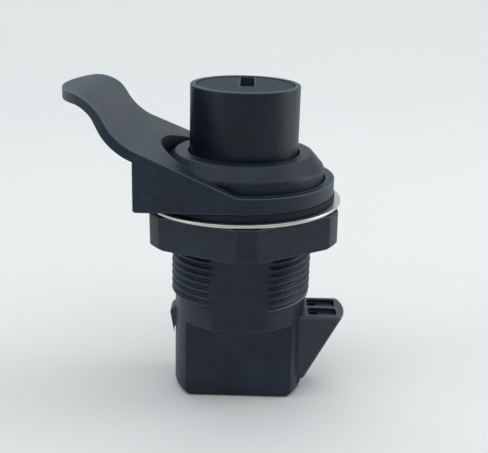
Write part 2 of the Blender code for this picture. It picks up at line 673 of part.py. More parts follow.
def lock_plug(material):
    """The slotted face disc with its stem, which turns in the button."""
    face = BUTTON_TOP - PLUG_SUNK
    under = face - PLUG_THICKNESS
    clip_top = WEB_BOTTOM
    clip_low = clip_top - 2 * SEAT - CLIP_THICKNESS
    plug = lathe("lock_plug", [
        (0, STEM_BOTTOM), (STEM_RADIUS, STEM_BOTTOM), (STEM_RADIUS, clip_low),
        (STEM_RADIUS - CLIP_GROOVE, clip_low), (STEM_RADIUS - CLIP_GROOVE, clip_top),
        (STEM_RADIUS, clip_top), (STEM_RADIUS, under), (BUTTON_RADIUS - PLUG_RIM, under),
        (BUTTON_RADIUS - PLUG_RIM, face), (0, face),
    ], material, 40)
    slot = (SLOT_SHIFT - SLOT_WIDTH / 2, SLOT_SHIFT + SLOT_WIDTH / 2)
    cut(plug, box("tool slot", slot, (SLOT_FRONT, SLOT_BACK), (face - SLOT_DEPTH, face + OVER)))
    notch = TONGUE_WIDTH / 2 + RUN
    cut(plug, box("tongue notch", (-STEM_RADIUS * 2, STEM_RADIUS * 2), (-notch, notch),
                  (STEM_BOTTOM - OVER, STEM_BOTTOM + TONGUE_IN_STEM)))
    cut(plug, rod("screw hole", SCREW_RADIUS + RUN, STEM_BOTTOM, STEM_BOTTOM + SCREW_LENGTH, 16))
    return plug


def plug_hardware(rubber, steel):
    """What holds the plug in the button and joins it to the tongue."""
    round_ring("plug_seal", STEM_RADIUS + SEAT + PLUG_SEAL, PLUG_SEAL, WEB_TOP - PLUG_SEAL, rubber, 28)
    clip_top = WEB_BOTTOM - SEAT
    clip = disc_ring("plug_clip", STEM_RADIUS - CLIP_GROOVE + SEAT, CLIP_RADIUS, clip_top - CLIP_THICKNESS,
                     clip_top, steel, ROUND // 2)
    cut(clip, box("clip mouth", (0, CLIP_RADIUS * 2), (-CLIP_MOUTH, CLIP_MOUTH),
                  (clip_top - CLIP_THICKNESS - OVER, clip_top + OVER)))
    tongue_top = STEM_BOTTOM + TONGUE_IN_STEM - SEAT
    tongue_low = tongue_top - TONGUE_THICKNESS
    half = TONGUE_WIDTH / 2
    outline = soft_rectangle((-TONGUE_HALF, TONGUE_HALF), (-half, half), TONGUE_ROUND)
    tongue = prism("drive_tongue", outline, tongue_low, tongue_top, "Z", steel)
    cut(tongue, rod("tongue hole", SCREW_RADIUS + RUN, tongue_low - OVER, tongue_top + OVER, 16))
    washer_top = tongue_low - SEAT
    washer_low = washer_top - SPRING_WASHER
    disc_ring("tongue_washer", SCREW_RADIUS + RUN, SCREW_HEAD_RADIUS, washer_low, washer_top, steel, 20)
    head_top = washer_low - SEAT
    head_low = head_top - SCREW_HEAD
    screw = lathe("tongue_screw", [
        (0, head_low), (SCREW_HEAD_RADIUS - SCREW_HEAD_EDGE, head_low),
        (SCREW_HEAD_RADIUS, head_top - SCREW_HEAD_EDGE), (SCREW_HEAD_RADIUS, head_top),
        (SCREW_RADIUS, head_top), (SCREW_RADIUS, head_top + SCREW_LENGTH), (0, head_top + SCREW_LENGTH),
    ], steel, 20)
    for word, x, y in (("first", DRIVER_HALF, DRIVER_REACH), ("second", DRIVER_REACH, DRIVER_HALF)):
        cut(screw, box(f"{word} driver slot", (-x, x), (-y, y), (head_low - OVER, head_low + DRIVER_DEPTH)))


def plunger(material):
    """Head and sleeve below the tongue, with the cam leg whose ramp draws the bolt back."""
    head_radius = BUTTON_INNER - RUN
    head_low = PLUNGER_TOP - PLUNGER_HEAD
    body = lathe("plunger", [
        (0, SLEEVE_BOTTOM), (PLUNGER_BODY_RADIUS, SLEEVE_BOTTOM),
        (PLUNGER_BODY_RADIUS, head_low), (head_radius, head_low), (head_radius, PLUNGER_TOP),
        (0, PLUNGER_TOP),
    ], material, 40)
    ramp_height = (LEG_RIGHT - LEG_TIP - LEG_LEFT) / CAM_RATIO
    leg = prism("cam leg", [
        (LEG_RIGHT - LEG_TIP, LEG_BOTTOM), (LEG_RIGHT, LEG_BOTTOM), (LEG_RIGHT, head_low),
        (LEG_LEFT, head_low), (LEG_LEFT, LEG_BOTTOM + ramp_height),
    ], -LEG_HALF, LEG_HALF, "Y")
    join(body, leg)
    free = PRESS_TRAVEL + SEAT
    slot_x = TONGUE_WIDTH / 2 + TONGUE_PLAY
    slot_y = TONGUE_HALF + TONGUE_PLAY
    screw_clear = SCREW_HEAD_RADIUS + 2 * RUN
    screw_deep = free + SCREW_HEAD + SPRING_WASHER + 2 * SEAT
    cut(body, box("tongue slot", (-slot_x, slot_x), (-slot_y, slot_y),
                  (PLUNGER_TOP - free, PLUNGER_TOP + OVER)))
    cut(body, rod("screw clearance", screw_clear, PLUNGER_TOP - screw_deep, PLUNGER_TOP + OVER, 20))
    return body


# Bolt

def nose_plan():
    """The nose seen from above: a flat arc from the front corner to the back one, both rounded."""
    centre = NOSE_X - NOSE_RADIUS
    inner = NOSE_RADIUS - NOSE_CORNER
    end = math.asin((BOLT_HALF - NOSE_CORNER) / inner)
    arc = [end * (k / 4 - 1) for k in range(9)]
    nose = [(centre + NOSE_RADIUS * math.cos(a), NOSE_RADIUS * math.sin(a)) for a in arc]
    corner_x = centre + inner * math.cos(end)
    corner_y = inner * math.sin(end)
    turns = [end + (math.pi / 2 - end) * k / 3 for k in (1, 2, 3)]
    back = [(corner_x + NOSE_CORNER * math.cos(a), corner_y + NOSE_CORNER * math.sin(a)) for a in turns]
    front = [(x, -y) for x, y in reversed(back)]
    return front + nose + back


def bolt_block(material):
    """The bolt's block, whose rounded nose slides back along the slope on its way down."""
    slope_top = BOLT_TOP - NOSE_LIP
    outlines = []
    for height, shift in ((BOLT_BOTTOM, NOSE_FOOT - NOSE_X), (slope_top, 0), (BOLT_TOP, 0)):
        nose = [(x + shift, y, height) for x, y in nose_plan()]
        outlines.append([(BOLT_BACK, -BOLT_HALF, height)] + nose + [(BOLT_BACK, BOLT_HALF, height)])
    return stacked("bolt", outlines, material)


def bolt_tail():
    """The tail seen from the front, with the hook that holds the bolt in the housing."""
    low = BOLT_TOP - TAIL_HEIGHT
    wall = -BODY_RADIUS - RUN
    return [
        (BOLT_BACK + OVER, low), (BOLT_BACK + OVER, BOLT_TOP), (wall - HOOK_TOP, BOLT_TOP),
        (wall - HOOK_REACH, BOLT_TOP - HOOK_REACH), (wall, HOOK_BOTTOM), (wall, low),
    ]


def bolt(material):
    """The slam bolt: cam slot inside, cored nose outside, and a tail hooked through the housing."""
    body = bolt_block(material)
    join(body, prism("bolt tail", bolt_tail(), -TAIL_WIDTH / 2, TAIL_WIDTH / 2, "Y"))
    ramp_top = LEG_RIGHT - LEG_TIP - (BOLT_TOP - LEG_BOTTOM) * CAM_RATIO - RUN
    ramp_foot = BOLT_TOP - (CAM_SLOT_END - ramp_top) / CAM_RATIO
    above = BOLT_TOP + OVER
    slot = [(ramp_top - OVER * CAM_RATIO, above), (CAM_SLOT_END, ramp_foot), (CAM_SLOT_END, above)]
    cut(body, prism("cam slot", slot, -LEG_HALF - RUN, LEG_HALF + RUN, "Y"))
    for side, word in ((-1, "front"), (1, "back")):
        near, far = sorted((side * CORE_RIB / 2, side * (BOLT_HALF - CORE_WALL)))
        core = soft_rectangle((CORE_START, CORE_END), (near, far), CORE_ROUND)
        deep = soft_rectangle((CORE_START + CORE_DRAFT, CORE_STEP), (near + CORE_DRAFT, far - CORE_DRAFT),
                              CORE_ROUND - CORE_DRAFT)
        cut(body, prism(f"{word} core", core, BOLT_TOP - CORE_DEPTH, above),
            prism(f"{word} deep core", deep, BOLT_TOP - CORE_DEEP, BOLT_TOP - CORE_DEPTH + OVER))
    hole = rod("spring hole", BOLT_COIL + BOLT_WIRE / 2 + RUN, -OVER, BOLT_SPRING_DEEP, 16)
    lay_along_x(hole, BOLT_BACK, BOLT_SPRING_Z)
    cut(body, hole)
    return body


# Springs

def springs(steel):
    seat_top = SPRING_LEDGE + SEAT + SPRING_SEAT_THICKNESS
    inner = RETURN_COIL - RETURN_WIRE / 2
    disc_ring("spring_seat", inner - SEAT, BUTTON_RADIUS, SPRING_LEDGE + SEAT, seat_top, steel, 40)
    low = seat_top + SEAT
    back = coil("return_spring", RETURN_COIL, RETURN_WIRE, RETURN_TURNS,
                PLUNGER_TOP - PLUNGER_HEAD - SEAT - low, steel)
    back.location.z = low
    push = coil("button_spring", BUTTON_COIL, BUTTON_WIRE, BUTTON_TURNS,
                WEB_BOTTOM - PLUNGER_TOP - 2 * SEAT, steel)
    push.location.z = PLUNGER_TOP + SEAT
    start = CAVITY_LEFT + SEAT
    small = coil("bolt_spring", BOLT_COIL, BOLT_WIRE, BOLT_TURNS,
                 BOLT_BACK + BOLT_SPRING_DEEP - SEAT - start, steel, 10, 5)
    small.rotation_euler.y = math.pi / 2
    small.location = (start, 0, BOLT_SPRING_Z)


def main():
    for obj in list(bpy.data.objects):
        bpy.data.objects.remove(obj, do_unlink=True)
    nylon = plastic("glass filled nylon", "#2a2f33", 0.5)
    acetal = plastic("acetal", "#202326", 0.4)
    rubber = plastic("nitrile rubber", "#15171a", 0.6)
    zinc = plastic("zinc plated steel", "#c9cac6", 0.3, 1.0)
    spring = plastic("spring steel", "#9a9c9c", 0.3, 1.0)
    housing(nylon)
    cut(handle(nylon), *handle_cores())
    clamped_stack(nylon, zinc, rubber)
    button(nylon, rubber)
    lock_plug(nylon)
    plug_hardware(rubber, zinc)
    plunger(acetal)
    bolt(acetal)
    springs(spring)


main()
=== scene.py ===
# %% [markdown]
# # A push-button latch in black moulded nylon
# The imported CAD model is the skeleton: it gives every piece its place and moves it. This script
# gives the latch its looks. Most pieces that the eye meets are modelled again here, with finer
# curves and rounded edges, because an injection mould leaves no knife edges, and it is the thin
# bright line along each edge that tells the eye that the piece is plastic.

# %% Load the frame
import json
import math

import bmesh
import bpy
from mathutils import Matrix, Vector

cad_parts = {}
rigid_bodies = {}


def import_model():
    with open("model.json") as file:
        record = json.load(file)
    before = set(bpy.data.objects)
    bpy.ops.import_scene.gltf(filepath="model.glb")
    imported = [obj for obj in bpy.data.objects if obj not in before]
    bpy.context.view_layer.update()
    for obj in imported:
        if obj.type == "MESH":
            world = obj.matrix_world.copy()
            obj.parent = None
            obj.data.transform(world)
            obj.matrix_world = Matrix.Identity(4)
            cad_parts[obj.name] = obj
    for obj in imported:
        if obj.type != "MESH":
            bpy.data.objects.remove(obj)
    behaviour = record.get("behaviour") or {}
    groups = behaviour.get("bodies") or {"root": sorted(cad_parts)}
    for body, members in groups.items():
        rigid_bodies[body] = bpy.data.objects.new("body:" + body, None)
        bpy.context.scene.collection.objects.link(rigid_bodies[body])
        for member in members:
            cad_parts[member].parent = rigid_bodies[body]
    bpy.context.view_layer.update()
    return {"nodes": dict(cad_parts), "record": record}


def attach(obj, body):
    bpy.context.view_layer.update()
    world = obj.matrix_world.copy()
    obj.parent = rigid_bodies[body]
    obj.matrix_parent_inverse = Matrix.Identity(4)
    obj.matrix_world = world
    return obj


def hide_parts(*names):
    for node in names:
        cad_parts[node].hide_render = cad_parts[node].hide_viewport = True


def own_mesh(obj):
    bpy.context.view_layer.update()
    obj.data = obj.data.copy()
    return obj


MM = 0.001
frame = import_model()

# %% [markdown]
# ## Camera
# The camera was worked out from the round edges in the photograph: every circle on the latch is
# seen as an ellipse, and the ellipses fix the height, the tilt and the distance. It stands a
# little above the latch and looks down by 18 degrees. It also leans by one and a half degrees,
# as a hand-held camera does.

# %% Camera
CAMERA_PITCH = math.radians(18.248)
CAMERA_ROLL = math.radians(1.534)
CAMERA_PLACE = Vector((0.565, -236.513, 124.161)) * MM
FOCAL_PIXELS = 912.08
IMAGE_WIDTH = 488
SENSOR_WIDTH = 36

ahead = Vector((0, math.cos(CAMERA_PITCH), -math.sin(CAMERA_PITCH)))
level_up = Vector((0, math.sin(CAMERA_PITCH), math.cos(CAMERA_PITCH)))
level_right = Vector((1, 0, 0))
right = level_right * math.cos(CAMERA_ROLL) + level_up * math.sin(CAMERA_ROLL)
up = level_up * math.cos(CAMERA_ROLL) - level_right * math.sin(CAMERA_ROLL)
camera_data = bpy.data.cameras.new("camera")
camera_data.sensor_width = SENSOR_WIDTH
camera_data.lens = FOCAL_PIXELS / IMAGE_WIDTH * SENSOR_WIDTH
camera_data.clip_start = 0.01
camera = bpy.data.objects.new("camera", camera_data)
bpy.context.scene.collection.objects.link(camera)
facing = Matrix((right, up, -ahead)).transposed().to_4x4()
camera.matrix_world = Matrix.Translation(CAMERA_PLACE) @ facing
bpy.context.scene.camera = camera
print(f"Lens {camera_data.lens:.1f} mm, {camera.location.length / MM:.0f} mm from the latch's foot")

# %% [markdown]
# ## Helpers for materials
# Colours are written as on the web, as sRGB hex values, but a shader wants linear light, so one
# function turns them. A second small function adds a node with its settings and its links, and
# returns the output that the next node needs. All patterns are sized in millimetres: a noise with
# a scale of 1000 has cells about a millimetre wide, because Object coordinates are metres.


# %% Helpers for materials
def linear(code):
    """Linear RGBA from an sRGB hex code."""
    parts = [int(code[i:i + 2], 16) / 255 for i in (1, 3, 5)]
    return (*[c / 12.92 if c <= 0.04045 else ((c + 0.055) / 1.055) ** 2.4 for c in parts], 1.0)


def per_mm(size):
    """The noise scale whose cells are about this many millimetres wide."""
    return 1 / (size * MM)


def add(tree, kind, output, inputs=None, **settings):
    """Adds a node, sets its options, fills or links its inputs, and returns one output."""
    node = tree.nodes.new(kind)
    for name, value in settings.items():
        setattr(node, name, value)
    for name, value in (inputs or {}).items():
        if isinstance(value, bpy.types.NodeSocket):
            tree.links.new(value, node.inputs[name])
        else:
            node.inputs[name].default_value = value
    return node.outputs[output]


def new_material(name, **sockets):
    """A material with its Principled shader, whose plain values are set on its own sockets."""
    material = bpy.data.materials.new(name)
    material.use_nodes = True
    tree = material.node_tree
    shader = tree.nodes["Principled BSDF"]
    for socket, value in sockets.items():
        shader.inputs[socket.replace("_", " ")].default_value = value
    return material, tree, shader


def link(tree, source, shader, socket):
    """Feeds a node's output to one socket of the shader."""
    tree.links.new(source, shader.inputs[socket])


# %% [markdown]
# ## Glass-filled nylon
# The housing, the pull, the nut and the button are nylon with short glass fibres, moulded in a
# spark-eroded tool. The tool leaves a fine even grain, so highlights are broad and soft, and the
# fibres make the surface a touch uneven in tone and sheen. The real grain is about a tenth of a
# millimetre. One of 0.5 to 0.6 mm is as fine as the render can show.
#
# A paler line is painted along the edges that look up: a painted highlight where the overhead
# light would catch them, while the edges that look down stay dark. An ambient occlusion that looks
# inwards finds the edges: its rays start inside the wall, and close to an edge they soon meet the
# next face. The Bevel node gives the same edges a small round for the light.
#
# The button came from a smoother tool, so it is darker and shines more evenly. The plug's face is
# duller than the rim round it. The bolt is acetal, which is made without fibres and has a waxy,
# slightly stronger shine.


# %% Glass-filled nylon
CLOUD_MM = 9          # slow drift of tone along a wall
PATCH_MM = 1.6        # patches of sheen, where fibres lie close under the skin
EDGE_REACH_MM = 0.7   # how far the paler line reaches in from an edge
SHEEN_SPREAD = 0.02


def moulded_plastic(name, dark, light, edge_highlight, roughness, grain_mm, grain_depth_mm, edge_mm, gloss):
    """A moulded black plastic with grain, uneven sheen and painted highlights on upward edges."""
    material, tree, shader = new_material(name, IOR=1.53, Specular_IOR_Level=gloss)
    place = add(tree, "ShaderNodeTexCoord", "Object")
    cloud = add(tree, "ShaderNodeTexNoise", "Fac",
                {"Vector": place, "Scale": per_mm(CLOUD_MM), "Detail": 3.0})
    grain = add(tree, "ShaderNodeTexNoise", "Fac",
                {"Vector": place, "Scale": per_mm(grain_mm), "Detail": 2.0, "Roughness": 0.6})
    patch = add(tree, "ShaderNodeTexNoise", "Fac",
                {"Vector": place, "Scale": per_mm(PATCH_MM), "Detail": 3.0})

    # The plain surface: dark and light tones, mixed by the large clouds and the fine grain
    mixed = add(tree, "ShaderNodeMath", "Value", {0: cloud, 1: grain}, operation="ADD")
    tone = add(tree, "ShaderNodeMapRange", "Result",
               {"Value": mixed, "From Min": 0.75, "From Max": 1.25})
    body = add(tree, "ShaderNodeMix", "Result",
               {"Factor": tone, "A": linear(dark), "B": linear(light)}, data_type="RGBA")

    # The painted edge highlight: where the wall is thin to rays from inside, and the surface looks
    # up
    round_edge = add(tree, "ShaderNodeBevel", "Normal", {"Radius": edge_mm * MM}, samples=6)
    within = add(tree, "ShaderNodeAmbientOcclusion", "AO", {"Distance": EDGE_REACH_MM * MM},
                 inside=True, only_local=True, samples=8)
    edge = add(tree, "ShaderNodeMapRange", "Result",
               {"Value": within, "From Min": 0.82, "From Max": 0.4})
    upward = add(tree, "ShaderNodeSeparateXYZ", "Z", {"Vector": round_edge})
    spread = add(tree, "ShaderNodeMapRange", "Result",
                 {"Value": upward, "From Min": -0.2, "From Max": 0.4})
    painted_highlight = add(tree, "ShaderNodeMath", "Value", {0: edge, 1: spread}, operation="MULTIPLY")
    # Painted highlight: the paler colour is mixed in along the edges that look up.
    colour = add(tree, "ShaderNodeMix", "Result",
                 {"Factor": painted_highlight, "A": body, "B": linear(edge_highlight)}, data_type="RGBA")
    link(tree, colour, shader, "Base Color")

    # Sheen and relief
    sheen = add(tree, "ShaderNodeMapRange", "Result",
                {"Value": patch, "From Min": 0.3, "From Max": 0.7,
                 "To Min": roughness - SHEEN_SPREAD, "To Max": roughness + SHEEN_SPREAD})
    link(tree, sheen, shader, "Roughness")
    bump = add(tree, "ShaderNodeBump", "Normal",
               {"Height": grain, "Normal": round_edge, "Strength": 0.6,
                "Distance": grain_depth_mm * MM})
    link(tree, bump, shader, "Normal")
    return material


# %% The four plastics
# Each plastic's third colour is its painted edge highlight.
nylon = moulded_plastic(
    "glass_filled_nylon_moulded", dark="#02111f", light="#152739", edge_highlight="#6b777e",
    roughness=0.44, grain_mm=0.6, grain_depth_mm=0.2, edge_mm=0.3, gloss=0.33)
button_nylon = moulded_plastic(
    "glass_filled_nylon_polished", dark="#03101a", light="#101f2b", edge_highlight="#66747a",
    roughness=0.41, grain_mm=0.6, grain_depth_mm=0.06, edge_mm=0.25, gloss=0.31)
plug_nylon = moulded_plastic(
    "glass_filled_nylon_grained", dark="#03121a", light="#122530", edge_highlight="#5d6a70",
    roughness=0.5, grain_mm=0.5, grain_depth_mm=0.2, edge_mm=0.15, gloss=0.13)
acetal = moulded_plastic(
    "acetal_moulded", dark="#0b1d29", light="#172a38", edge_highlight="#5d6a70",
    roughness=0.42, grain_mm=0.6, grain_depth_mm=0.08, edge_mm=0.25, gloss=0.55)
print("Plastics:", [made.name for made in (nylon, button_nylon, plug_nylon, acetal)])

# %% [markdown]
# ## Steel and rubber
# The washer is stamped steel with a bright zinc plate: a metal, so its colour is that of its
# reflection, with a slight cloudiness where the plate's crystals differ. The clouds are drawn
# 1.2 mm wide, a few times coarser than real ones, because finer ones would not show. The springs
# are drawn wire, a little darker. The gasket and the seals are nitrile rubber, a soft black with
# almost no shine and a dusty bloom.


# %% Steel and rubber
SCRATCH_MM, SCRATCH_DEPTH_MM = 0.5, 0.01
BLOOM_MM, BLOOM_DEPTH_MM = 1.5, 0.02


def plated_steel(name, dark, light, roughness, cloud_mm):
    """A plated or drawn metal whose plate is slightly cloudy."""
    material, tree, shader = new_material(name, Metallic=1.0)
    place = add(tree, "ShaderNodeTexCoord", "Object")
    cloud = add(tree, "ShaderNodeTexNoise", "Fac",
                {"Vector": place, "Scale": per_mm(cloud_mm), "Detail": 5.0, "Roughness": 0.7})
    colour = add(tree, "ShaderNodeMix", "Result",
                 {"Factor": cloud, "A": linear(dark), "B": linear(light)}, data_type="RGBA")
    link(tree, colour, shader, "Base Color")
    sheen = add(tree, "ShaderNodeMapRange", "Result",
                {"Value": cloud, "To Min": roughness - 0.1, "To Max": roughness + 0.1})
    link(tree, sheen, shader, "Roughness")
    scratch = add(tree, "ShaderNodeTexNoise", "Fac",
                  {"Vector": place, "Scale": per_mm(SCRATCH_MM), "Detail": 3.0})
    bump = add(tree, "ShaderNodeBump", "Normal",
               {"Height": scratch, "Strength": 0.4, "Distance": SCRATCH_DEPTH_MM * MM})
    link(tree, bump, shader, "Normal")
    return material


def soft_rubber(name, dark, light):
    """Matt black rubber with a dusty bloom."""
    material, tree, shader = new_material(name, IOR=1.52, Specular_IOR_Level=0.3)
    place = add(tree, "ShaderNodeTexCoord", "Object")
    bloom = add(tree, "ShaderNodeTexNoise", "Fac",
                {"Vector": place, "Scale": per_mm(BLOOM_MM), "Detail": 4.0})
    colour = add(tree, "ShaderNodeMix", "Result",
                 {"Factor": bloom, "A": linear(dark), "B": linear(light)}, data_type="RGBA")
    link(tree, colour, shader, "Base Color")
    sheen = add(tree, "ShaderNodeMapRange", "Result",
                {"Value": bloom, "To Min": 0.6, "To Max": 0.8})
    link(tree, sheen, shader, "Roughness")
    bump = add(tree, "ShaderNodeBump", "Normal",
               {"Height": bloom, "Strength": 0.3, "Distance": BLOOM_DEPTH_MM * MM})
    link(tree, bump, shader, "Normal")
    return material


zinc = plated_steel("zinc_plated_steel_stamped", dark="#b9b9b5", light="#d9d9d5",
                    roughness=0.32, cloud_mm=1.2)
wire = plated_steel("spring_steel_drawn", dark="#85898c", light="#a4a7a9",
                    roughness=0.3, cloud_mm=0.8)
rubber = soft_rubber("nitrile_rubber_moulded", dark="#091221", light="#101b2c")

MATERIAL_OF_SLOT = {
    "glass_filled_nylon": nylon,
    "acetal": acetal,
    "nitrile_rubber": rubber,
    "zinc_plated_steel": zinc,
    "spring_steel": wire,
}
for entry in frame["record"]["subparts"]:
    cad_node = frame["nodes"][entry["node"]]
    cad_node.data.materials.clear()
    cad_node.data.materials.append(MATERIAL_OF_SLOT[entry["material_slot"]])

# %% [markdown]
# ## Helpers for shapes
# A moulded piece is drawn as a flat outline first, with its corners rounded while they are still
# corners of a flat face, and then it is turned round the axis or pulled straight. Booleans cut the
# hollows. Last, `soften` bevels the edges that are still sharp. All sizes are in millimetres, and
# each helper turns its own into metres.


# %% Helpers for shapes
PLANES = {"XZ": lambda u, v: (u, 0, v), "XY": lambda u, v: (u, v, 0), "YZ": lambda u, v: (0, u, v)}
ACROSS = {"XZ": Vector((0, 1, 0)), "XY": Vector((0, 0, 1)), "YZ": Vector((1, 0, 0))}
ORIGIN = (0, 0, 0)
UPRIGHT = (0, 0, 1)
QUARTER_TURN = math.pi / 2
ON_AXIS = 1e-9
WELD = 1e-7
LOOSE_WELD = 2e-6
FLAT_ANGLE = math.radians(0.5)
SHARP_ANGLE = math.radians(38)
FINE_STEPS = 144


def sketch(corners, plane="XZ", steps=6):
    """A flat face from corners (across, up, cut), each rounded over the length of its cut."""
    bm = bmesh.new()
    verts = [bm.verts.new([c * MM for c in PLANES[plane](u, v)]) for u, v, _ in corners]
    bm.faces.new(verts)
    for vert, (_, _, length) in zip(verts, corners):
        if length:
            bmesh.ops.bevel(bm, geom=[vert], offset=length * MM, offset_type="OFFSET",
                            affect="VERTICES", segments=steps, profile=0.5, material=-1)
    return bm


def arc(x, y, radius, start, end, steps):
    """Corners along an arc round (x, y), between two angles in degrees."""
    turns = [math.radians(start + (end - start) * k / steps) for k in range(steps + 1)]
    return [(x + radius * math.cos(a), y + radius * math.sin(a), 0) for a in turns]


def turned(corners, steps=128, rounding=4):
    """The outline of a sketch turned round the Z axis."""
    bm = sketch(corners, steps=rounding)
    bmesh.ops.delete(bm, geom=bm.faces[:], context="FACES_ONLY")
    on_axis = [e for e in bm.edges if all(abs(v.co.x) < ON_AXIS for v in e.verts)]
    bmesh.ops.delete(bm, geom=on_axis, context="EDGES_FACES")
    bmesh.ops.spin(bm, geom=bm.verts[:] + bm.edges[:], cent=ORIGIN, axis=UPRIGHT, dvec=(0, 0, 0),
                   angle=math.tau, steps=steps, use_merge=True)
    return bm


def pulled(corners, plane, low, high, rounding=6):
    """A sketch pulled straight from low to high, across its plane."""
    bm = sketch(corners, plane, rounding)
    way = ACROSS[plane]
    bmesh.ops.translate(bm, vec=way * low * MM, verts=bm.verts)
    drawn = bmesh.ops.extrude_face_region(bm, geom=bm.faces[:])
    moved = [g for g in drawn["geom"] if isinstance(g, bmesh.types.BMVert)]
    bmesh.ops.translate(bm, vec=way * (high - low) * MM, verts=moved)
    return bm


def block(x, y, z):
    """A plain block between two limits on each axis."""
    return pulled([(x[0], y[0], 0), (x[1], y[0], 0), (x[1], y[1], 0), (x[0], y[1], 0)], "XY", *z)


def laid_along_x(bm, x, z):
    """Turns a shape from the Z axis to the X axis, with its foot at x and its axis at height z."""
    bmesh.ops.rotate(bm, cent=ORIGIN, matrix=Matrix.Rotation(QUARTER_TURN, 3, "Y"), verts=bm.verts)
    bmesh.ops.translate(bm, vec=Vector((x, 0, z)) * MM, verts=bm.verts)
    return bm


def solid(bm, name):
    """An object from a bmesh, closed and facing outwards."""
    bmesh.ops.remove_doubles(bm, verts=bm.verts, dist=WELD)
    bmesh.ops.recalc_face_normals(bm, faces=bm.faces)
    mesh = bpy.data.meshes.new(name)
    bm.to_mesh(mesh)
    bm.free()
    made = bpy.data.objects.new(name, mesh)
    bpy.context.scene.collection.objects.link(made)
    return made


# %% Helpers for shapes: join, round and finish
def combine(target, how, *shapes):
    """Joins shapes to the target, cuts them from it or keeps what is inside them."""
    tools = [solid(bm, "tool") for bm in shapes]
    for tool in tools:
        step = target.modifiers.new("step", "BOOLEAN")
        step.operation, step.solver, step.object = how, "EXACT", tool
    graph = bpy.context.evaluated_depsgraph_get()
    shaped = bpy.data.meshes.new_from_object(target.evaluated_get(graph))
    target.modifiers.clear()
    target.data = shaped
    for tool in tools:
        bpy.data.objects.remove(tool, do_unlink=True)
    return target


def soften(target, width, steps=3, where=None, angle=32):
    """Bevels sharp edges. `where` picks them by their middle, in millimetres, and by how far
    the more upright of their two faces looks up, from -1 to 1."""
    bm = bmesh.new()
    bm.from_mesh(target.data)
    bmesh.ops.remove_doubles(bm, verts=bm.verts, dist=LOOSE_WELD)
    bmesh.ops.dissolve_limit(bm, angle_limit=FLAT_ANGLE, verts=bm.verts, edges=bm.edges,
                             use_dissolve_boundaries=False)
    picked = []
    for edge in bm.edges:
        if len(edge.link_faces) != 2 or edge.calc_face_angle() < math.radians(angle):
            continue
        middle = (edge.verts[0].co + edge.verts[1].co) / 2 / MM
        if not where or where(middle, max(face.normal.z for face in edge.link_faces)):
            picked.append(edge)
    bmesh.ops.bevel(bm, geom=picked, offset=width * MM, offset_type="OFFSET", affect="EDGES",
                    segments=steps, profile=0.5, material=-1, clamp_overlap=True, loop_slide=True)
    bm.to_mesh(target.data)
    bm.free()
    return target


def dress(target, material, body, slot, *nodes):
    """Smooth shading, material, and the CAD body and nodes that the piece belongs to."""
    target.data.shade_smooth()
    target.data.set_sharp_from_angle(angle=SHARP_ANGLE)
    target.data.materials.clear()
    target.data.materials.append(material)
    even = target.modifiers.new("even shading", "WEIGHTED_NORMAL")
    even.keep_sharp = True
    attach(target, body)
    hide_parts(*nodes)
    size = [round(c / MM, 1) for c in target.dimensions]
    faces = len(target.data.polygons)
    print(f"{target.name}: {faces} faces, {size} mm, stands for {', '.join(nodes)}")
    return target


# %% [markdown]
# ## Housing
# The housing is one moulding. Its outside is turned: a round foot, a barrel and a flange with a
# domed shoulder that the eye reads as two soft rings. The barrel's thread is a ridge swept round
# the axis while it climbs one pitch a turn, which `spin` does when it gets a `dvec`. Two flats cut
# through the thread, so that the panel can hold the latch from turning, and a second, deeper pair
# narrows the foot. A groove under the flange holds the ring that seals it to the pull.

# %% Housing: turned body
FOOT_RADIUS = 18.0
FOOT_ROUND = 2.0
CREST_RADIUS = 19.0
ROOT_RADIUS = 18.15
PITCH = 2.0
THREAD_START = 28.0
FLANGE_BOTTOM = 59.8
DOME_RADIUS = 21.45
DOME_SHOULDER = 63.95
DOME_TOP = 67.7
LEDGE_RADIUS = 18.2
BORE = 14.75
BORE_FLOOR = 27.0
SEAL_IN, SEAL_OUT, SEAL_TOP = 19.15, 20.85, 61.2

housing = solid(turned([
    (0, 0, 0), (FOOT_RADIUS, 0, FOOT_ROUND),
    (FOOT_RADIUS, THREAD_START, 0), (ROOT_RADIUS, THREAD_START, 0),
    (ROOT_RADIUS, FLANGE_BOTTOM, 0), (SEAL_IN, FLANGE_BOTTOM, 0), (SEAL_IN, SEAL_TOP, 0),
    (SEAL_OUT, SEAL_TOP, 0), (SEAL_OUT, FLANGE_BOTTOM, 0), (DOME_RADIUS, FLANGE_BOTTOM, 0),
    (DOME_RADIUS, DOME_SHOULDER, 0.7), (LEDGE_RADIUS, DOME_TOP, 0.35), (BORE, DOME_TOP, 0.3),
    (BORE, BORE_FLOOR, 0), (0, BORE_FLOOR, 0),
], FINE_STEPS), "housing_moulding")
print("Turned body:", len(housing.data.polygons), "faces")

# %% [markdown]
# The thread's ridge starts below the barrel and ends inside the flange. Its lower end is sliced
# level with `bisect_plane`, so the first turn fades in as it does where a thread tool stops.

# %% Housing: thread
STEPS_PER_TURN = 96
RIDGE_SUNK = 0.4
ROOT_HALF, CREST_HALF, CREST_ROUND = 0.94, 0.12, 0.1
ridge_start, ridge_end = THREAD_START - 2.0, FLANGE_BOTTOM + 1.2
turns = (ridge_end - ridge_start) / PITCH
ridge = sketch([
    (ROOT_RADIUS - RIDGE_SUNK, ridge_start - ROOT_HALF, 0),
    (ROOT_RADIUS, ridge_start - ROOT_HALF, 0),
    (CREST_RADIUS, ridge_start - CREST_HALF, CREST_ROUND),
    (CREST_RADIUS, ridge_start + CREST_HALF, CREST_ROUND),
    (ROOT_RADIUS, ridge_start + ROOT_HALF, 0),
    (ROOT_RADIUS - RIDGE_SUNK, ridge_start + ROOT_HALF, 0),
], steps=2)
count = round(turns * STEPS_PER_TURN)
bmesh.ops.spin(ridge, geom=ridge.verts[:] + ridge.edges[:] + ridge.faces[:], cent=ORIGIN,
               axis=UPRIGHT, dvec=(0, 0, (ridge_end - ridge_start) * MM / count),
               angle=math.tau * turns, steps=count)
